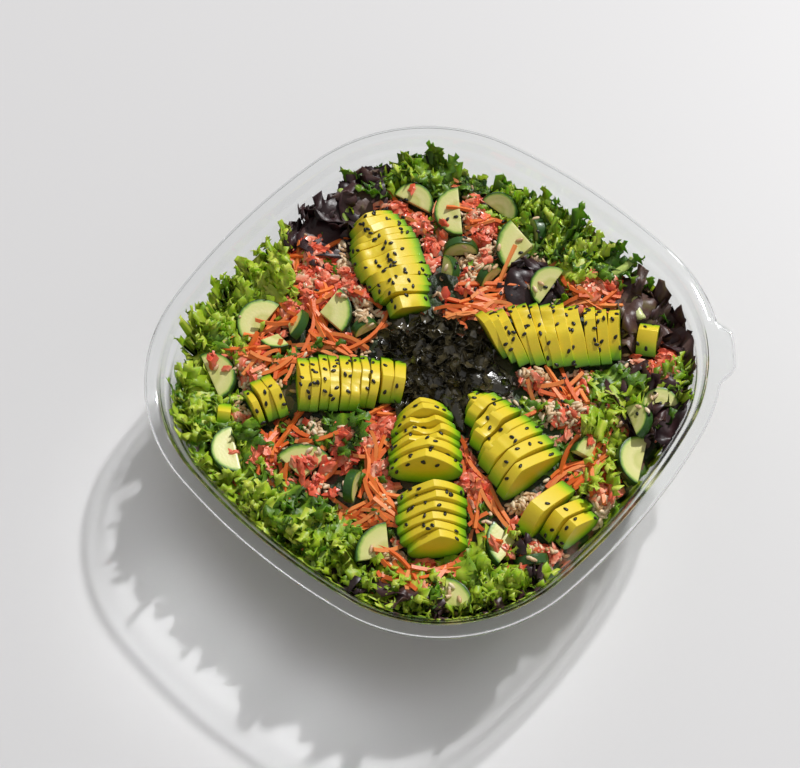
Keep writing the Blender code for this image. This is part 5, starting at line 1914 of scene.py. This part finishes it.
@dataclass
class Nori:
    """A crumpled heap of nori flakes between the avocados."""

    x: float = 4 * MM
    y: float = 3 * MM
    reach: float = 30 * MM
    points_round: int = 72
    flakes: int = 270

    def spread(self, angle: float) -> float:
        """How far the heap spreads in a direction."""
        reach = self.reach
        for lobe, extra, width in ((25, 14, 20), (190, 11, 26), (332, 13, 14)):
            away = (math.degrees(angle) - lobe + 180) % 360 - 180
            reach += extra * MM * math.exp(-((away / width) ** 2))
        return reach

    def heap(self, tree: BVHTree, avocados: Ground) -> Mesh:
        """The heap under the flakes.

        Args:
            tree: The plain dome that it lies on.
            avocados: Where the avocados keep it clear.

        Returns:
            The heap's mesh.
        """
        profile = (
            (1.0, -3.0), (0.99, 1.0), (0.93, 2.6), (0.84, 3.8), (0.74, 4.8), (0.63, 5.7),
            (0.52, 6.6), (0.42, 7.2), (0.32, 7.8), (0.22, 8.2), (0.12, 8.4), (0.05, 8.5),
        )
        rings = []
        plan = 2 * np.pi * np.arange(self.points_round) / self.points_round
        reaches = []
        for angle in plan:
            reach = self.spread(angle)
            while reach > 8 * MM and self.blocked(avocados, angle, reach + 0.6 * MM):
                reach -= 0.5 * MM
            reaches.append(reach)
        for share, rise in profile:
            ring = []
            for angle, reach in zip(plan, reaches):
                x = self.x + reach * share * math.cos(angle)
                y = self.y + reach * share * math.sin(angle)
                coarse, fine = (noise.noise(Vector((x, y, z)) * scale) for z, scale in ((0, 150), (1, 380)))
                ring.append((x, y, height_on(tree, x, y) + (rise + (1.1 * coarse + 0.7 * fine)) * MM))
            rings.append(np.array(ring))
        mesh = loft(rings, rings[0].mean(0), rings[-1].mean(0))
        mesh.values["tone"] = np.full(len(mesh.points), 0.25)
        return mesh

    def blocked(self, avocados: Ground, angle: float, reach: float) -> bool:
        """Whether a place of the heap's edge is under an avocado."""
        spot = np.array([[self.x + reach * math.cos(angle), self.y + reach * math.sin(angle), 0.0]])
        return bool(avocados.on_topping(spot)[0])

    def build(self, tree: BVHTree, avocados: Ground, draw: random.Random) -> Mesh:
        """Build the heap with its flakes.

        Args:
            tree: The plain dome that it lies on.
            avocados: Where the avocados keep it clear.
            draw: The random draw.

        Returns:
            The mesh of both.
        """
        parts = Gathering()
        heap = self.heap(tree, avocados)
        parts.add(heap)
        heap_tree = tree_of(heap)
        for _ in range(self.flakes):
            angle = draw.uniform(0, 2 * math.pi)
            reach = self.spread(angle) * math.sqrt(draw.uniform(0, 0.95))
            x, y = self.x + reach * math.cos(angle), self.y + reach * math.sin(angle)
            height = height_on(heap_tree, x, y)
            flake = self.flake(draw)
            turn = Matrix.Rotation(draw.uniform(0, 2 * math.pi), 4, "Z")
            tip = Matrix.Rotation(draw.gauss(0, 0.5), 4, "Y") @ Matrix.Rotation(draw.gauss(0, 0.5), 4, "X")
            if height is None:
                continue
            flake = flake.moved(Matrix.Translation((x, y, height + draw.uniform(0, 1.6) * MM)) @ turn @ tip)
            if avocados.on_topping(flake.points).mean() > 0.2:
                continue
            parts.add(flake)
        return parts.joined()

    def flake(self, draw: random.Random) -> Mesh:
        """A crumpled flake of sheet with a ragged edge, thin and closed.

        Args:
            draw: The random draw.

        Returns:
            The flake's mesh.
        """
        rows, columns = 7, 4
        length, width = draw.uniform(8, 20) * MM, draw.uniform(4, 10) * MM
        u, v = np.meshgrid(np.linspace(-0.5, 0.5, rows), np.linspace(-0.5, 0.5, columns), indexing="ij")
        ragged = np.array([[draw.uniform(0.8, 1.2) for _ in range(columns)] for _ in range(rows)])
        fold, phase = draw.uniform(1.0, 2.4), draw.uniform(0, 6.28)
        crease = np.sin(fold * 2 * np.pi * u + phase + 2.2 * v) * draw.uniform(0.6, 1.8) * MM
        crease += np.array([[draw.uniform(-0.4, 0.4) for _ in range(columns)] for _ in range(rows)]) * MM
        top = np.stack([u * length * ragged, v * width * ragged, crease], -1).reshape(-1, 3)
        under = top - np.array([0, 0, 0.22 * MM])
        faces, edge, count = grid_faces(rows, columns), grid_rim(rows, columns), rows * columns
        after = np.roll(edge, -1)
        near = np.stack([edge, after, after + count], 1)
        far = np.stack([edge, after + count, edge + count], 1)
        faces = np.concatenate([faces, faces[:, ::-1] + count, near[:, ::-1], far[:, ::-1]])
        tone = np.full(2 * count, draw.uniform(0.2, 0.9))
        return Mesh(np.concatenate([top, under]), faces, {"tone": tone})


# Sesame


@dataclass
class Sesame:
    """Black seeds on the avocados and over the back of the salad."""

    seed: Mesh
    draw: random.Random
    loose: int = 130
    highest: float = 89 * MM

    def on_row(self, into: Gathering, row: AvocadoRow, mesh: Mesh) -> None:
        """Scatter seeds on a row of slices.

        Args:
            into: The gathering of seeds.
            row: The row.
            mesh: The row's mesh.
        """
        tree = tree_of(mesh)
        low, high = mesh.points.min(0), mesh.points.max(0)
        done = 0
        for _ in range(row.sesame * 30):
            if done == row.sesame:
                break
            x, y = self.draw.uniform(low[0], high[0]), self.draw.uniform(low[1], high[1])
            done += self.drop(into, [tree], x, y, 0.35)

    def drop(self, into: Gathering, trees: Sequence[BVHTree], x: float, y: float, steepest: float) -> int:
        """Drop one seed on the highest surface at a place.

        Args:
            into: The gathering of seeds.
            trees: The surfaces.
            x: Place on the plan.
            y: Place on the plan.
            steepest: Least upward part of the surface's normal.

        Returns:
            1 if the seed stays, or 0.
        """
        hits = [drop_on(tree, x, y) for tree in trees]
        hits = [hit for hit in hits if hit[0] is not None]
        if not hits:
            return 0
        place, normal = max(hits, key=lambda hit: hit[0].z)[:2]
        if normal.z < steepest:
            return 0
        level = normal.to_track_quat("Z", "X").to_matrix().to_4x4()
        spin = Matrix.Rotation(self.draw.uniform(0, 2 * math.pi), 4, "Z")
        seed = self.seed.moved(Matrix.Translation(place + normal * 0.35 * MM) @ level @ spin)
        tone = self.draw.uniform(0, 1)
        if seed.points[:, 2].max() > self.highest:
            return 0
        into.add(seed, tone=tone)
        return 1

    def over_salad(self, into: Gathering, surfaces: Sequence[Mesh]) -> None:
        """Scatter loose seeds over the back and the right of the salad."""
        trees = [tree_of(mesh) for mesh in surfaces]
        done = 0
        while done < self.loose:
            x, y = self.draw.uniform(-110, 120) * MM, self.draw.uniform(-60, 125) * MM
            if self.draw.random() < 0.25 + 0.75 * (y > 30 * MM):
                done += self.drop(into, trees, x, y, 0.4)


# Studio


@dataclass
class Studio:
    """Floor, soft lights and the camera."""

    azimuth: float = 45.451
    elevation: float = 62.613
    roll: float = -5.333
    distance: float = 0.8498
    offset: tuple = (-19.375, -15.131)
    scale: float = 152.5 / 150
    lens: float = 67.83
    aim_height: float = 85 * MM

    def floor(self) -> None:
        """Add the floor."""
        deselect()
        bpy.ops.mesh.primitive_grid_add(x_subdivisions=4, y_subdivisions=4, size=14.0)
        floor = bpy.context.object
        floor.name = "floor"
        floor.data.materials.append(PaleFloor().material())

    def camera(self) -> None:
        """Add the camera."""
        a, e = math.radians(self.azimuth), math.radians(self.elevation)
        right = Vector((math.cos(a), math.sin(a), 0))
        ahead = Vector((-math.sin(a), math.cos(a), 0))
        back = Vector((math.sin(a) * math.cos(e), -math.cos(a) * math.cos(e), math.sin(e)))
        up = back.cross(right)
        c, s = math.cos(math.radians(self.roll)), math.sin(math.radians(self.roll))
        axes = Matrix((c * right + s * up, -s * right + c * up, back)).transposed().to_4x4()
        aim = (right * self.offset[0] + ahead * self.offset[1]) * self.scale * MM
        aim += Vector((0, 0, self.aim_height))
        axes.translation = aim + back * self.distance * self.scale
        data = bpy.data.cameras.new("camera")
        data.lens = self.lens
        data.sensor_width = 36.0
        camera = bpy.data.objects.new("camera", data)
        bpy.context.scene.collection.objects.link(camera)
        camera.matrix_world = axes
        bpy.context.scene.camera = camera

    def lamp(self, name: str, place: tuple, size: float, power: float) -> None:
        """Add a soft square lamp that faces the bowl."""
        data = bpy.data.lights.new(name, "AREA")
        data.size = size
        data.energy = power
        lamp = bpy.data.objects.new(name, data)
        bpy.context.scene.collection.objects.link(lamp)
        lamp.location = place
        lamp.rotation_euler = (Vector((0, 0, 0.05)) - Vector(place)).to_track_quat("-Z", "Y").to_euler()

    def lights(self) -> None:
        """Add the lights and the even light all round."""
        self.lamp("key", (-0.36, 3.90, 4.10), 0.20, 282.0)
        self.lamp("fill", (1.3, -0.9, 1.3), 1.2, 1.5)
        world = bpy.data.worlds.new("studio")
        bpy.context.scene.world = world
        world.use_nodes = True
        background = world.node_tree.nodes["Background"]
        background.inputs["Color"].default_value = (1.0, 0.985, 0.965, 1.0)
        background.inputs["Strength"].default_value = 0.33
        bpy.context.scene.view_settings.view_transform = "Standard"


# Whole bowl


def build_toppings(tree: BVHTree) -> tuple:
    """Build the avocados and the cucumber pieces.

    Args:
        tree: The plain dome that they rest on.

    Returns:
        Their meshes: the avocado rows, and the cucumber pieces by node.
    """
    draw = random.Random(SEED)
    rows = [(row, row.build(tree, draw)) for row in AVOCADOS]
    pieces = {}
    for number, piece in enumerate(CUCUMBERS, start=1):
        node = f"cucumber_{number:02d}"
        pieces[node] = piece.build(node, random.Random(number))
    avocado = AVOCADO_FLESH.material()
    for row, mesh in rows:
        crisp(make_object(row.name + "_slices", mesh, avocado, [row.name]), 32)
    cucumber = CUCUMBER_FLESH.material()
    for node, mesh in pieces.items():
        crisp(make_object(node + "_cut", mesh, cucumber, [node]), 40)
    return rows, pieces


def main() -> None:
    """Build and dress the bowl, its food and the studio."""
    logging.basicConfig(level=logging.INFO, format="%(name)s: %(message)s")
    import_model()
    draw = random.Random(SEED)
    form = TubForm()
    salad = SaladForm(form)
    tree = salad.tree()

    Tub(form).build()
    rows, pieces = build_toppings(tree)
    bed = Bed(salad).build()
    avocados = Ground(bed, [mesh for _, mesh in rows])
    nori = Nori().build(tree, avocados, draw)
    make_object("nori_flakes", nori, NORI_SHEET, ["nori"])
    make_object("salad_bed", bed, TossedBed(), ["salad"])
    ground = Ground(bed, [mesh for _, mesh in rows] + list(pieces.values()) + [nori])

    loose = LooseSalad(form, ground, draw)
    leaf_object("leaf_scraps", loose.scraps(170), FRILLED_LEAF, 0.35 * MM)
    pressed = PressedSalad(loose, random.Random(SEED + 7))
    leaf_object("pressed_leaves", pressed.leaves(), FRILLED_LEAF, 0.04 * MM)
    pressed.shreds()
    loose.shreds(loose.under_jobs())
    leaf_object("red_leaves", loose.leaves(RED_PATCHES, RED, -0.5, 0.1, 0.5 * MM), RED_LEAF, 0.4 * MM)
    frills = loose.leaves(FRILL_PATCHES, FRILL, -0.3, 0.25, 0.5 * MM)
    leaf_object("frilled_leaves", frills, FRILLED_LEAF, 0.35 * MM)
    broad = loose.leaves(BROAD_PATCHES, BROAD, -0.36, 0.06, 1.0 * MM)
    leaf_object("broad_leaves", broad, FRILLED_LEAF, 0.4 * MM)
    make_object("stems", Stems(form, ground).build(), STEM_FLESH, ["salad"])
    ground.open_up(list(pieces.values()))
    loose.shreds(loose.over_jobs())
    rice, crab, carrot = (loose.kinds[kind].joined() for kind in Kind)
    make_object("rice_grains", rice, RICE_GRAIN, ["salad"])
    crisp(make_object("crab_flakes", crab, CRAB_MEAT, ["salad"]), 35)
    crisp(make_object("carrot_shreds", carrot, CARROT_FLESH, ["salad"]), 50)

    seeds = Gathering()
    sesame = Sesame(loose.ball((3.2 * MM, 2.3 * MM, 1.3 * MM), 6, 7, 0.30), draw)
    for row, mesh in rows:
        sesame.on_row(seeds, row, mesh)
    sesame.over_salad(seeds, [bed, rice, crab, carrot, *pieces.values()])
    make_object("sesame_seeds", seeds.joined(), SESAME_SEED, ["salad"])

    studio = Studio()
    studio.floor()
    studio.camera()
    studio.lights()
    bpy.context.view_layer.update()


if __name__ == "__main__":
    main()
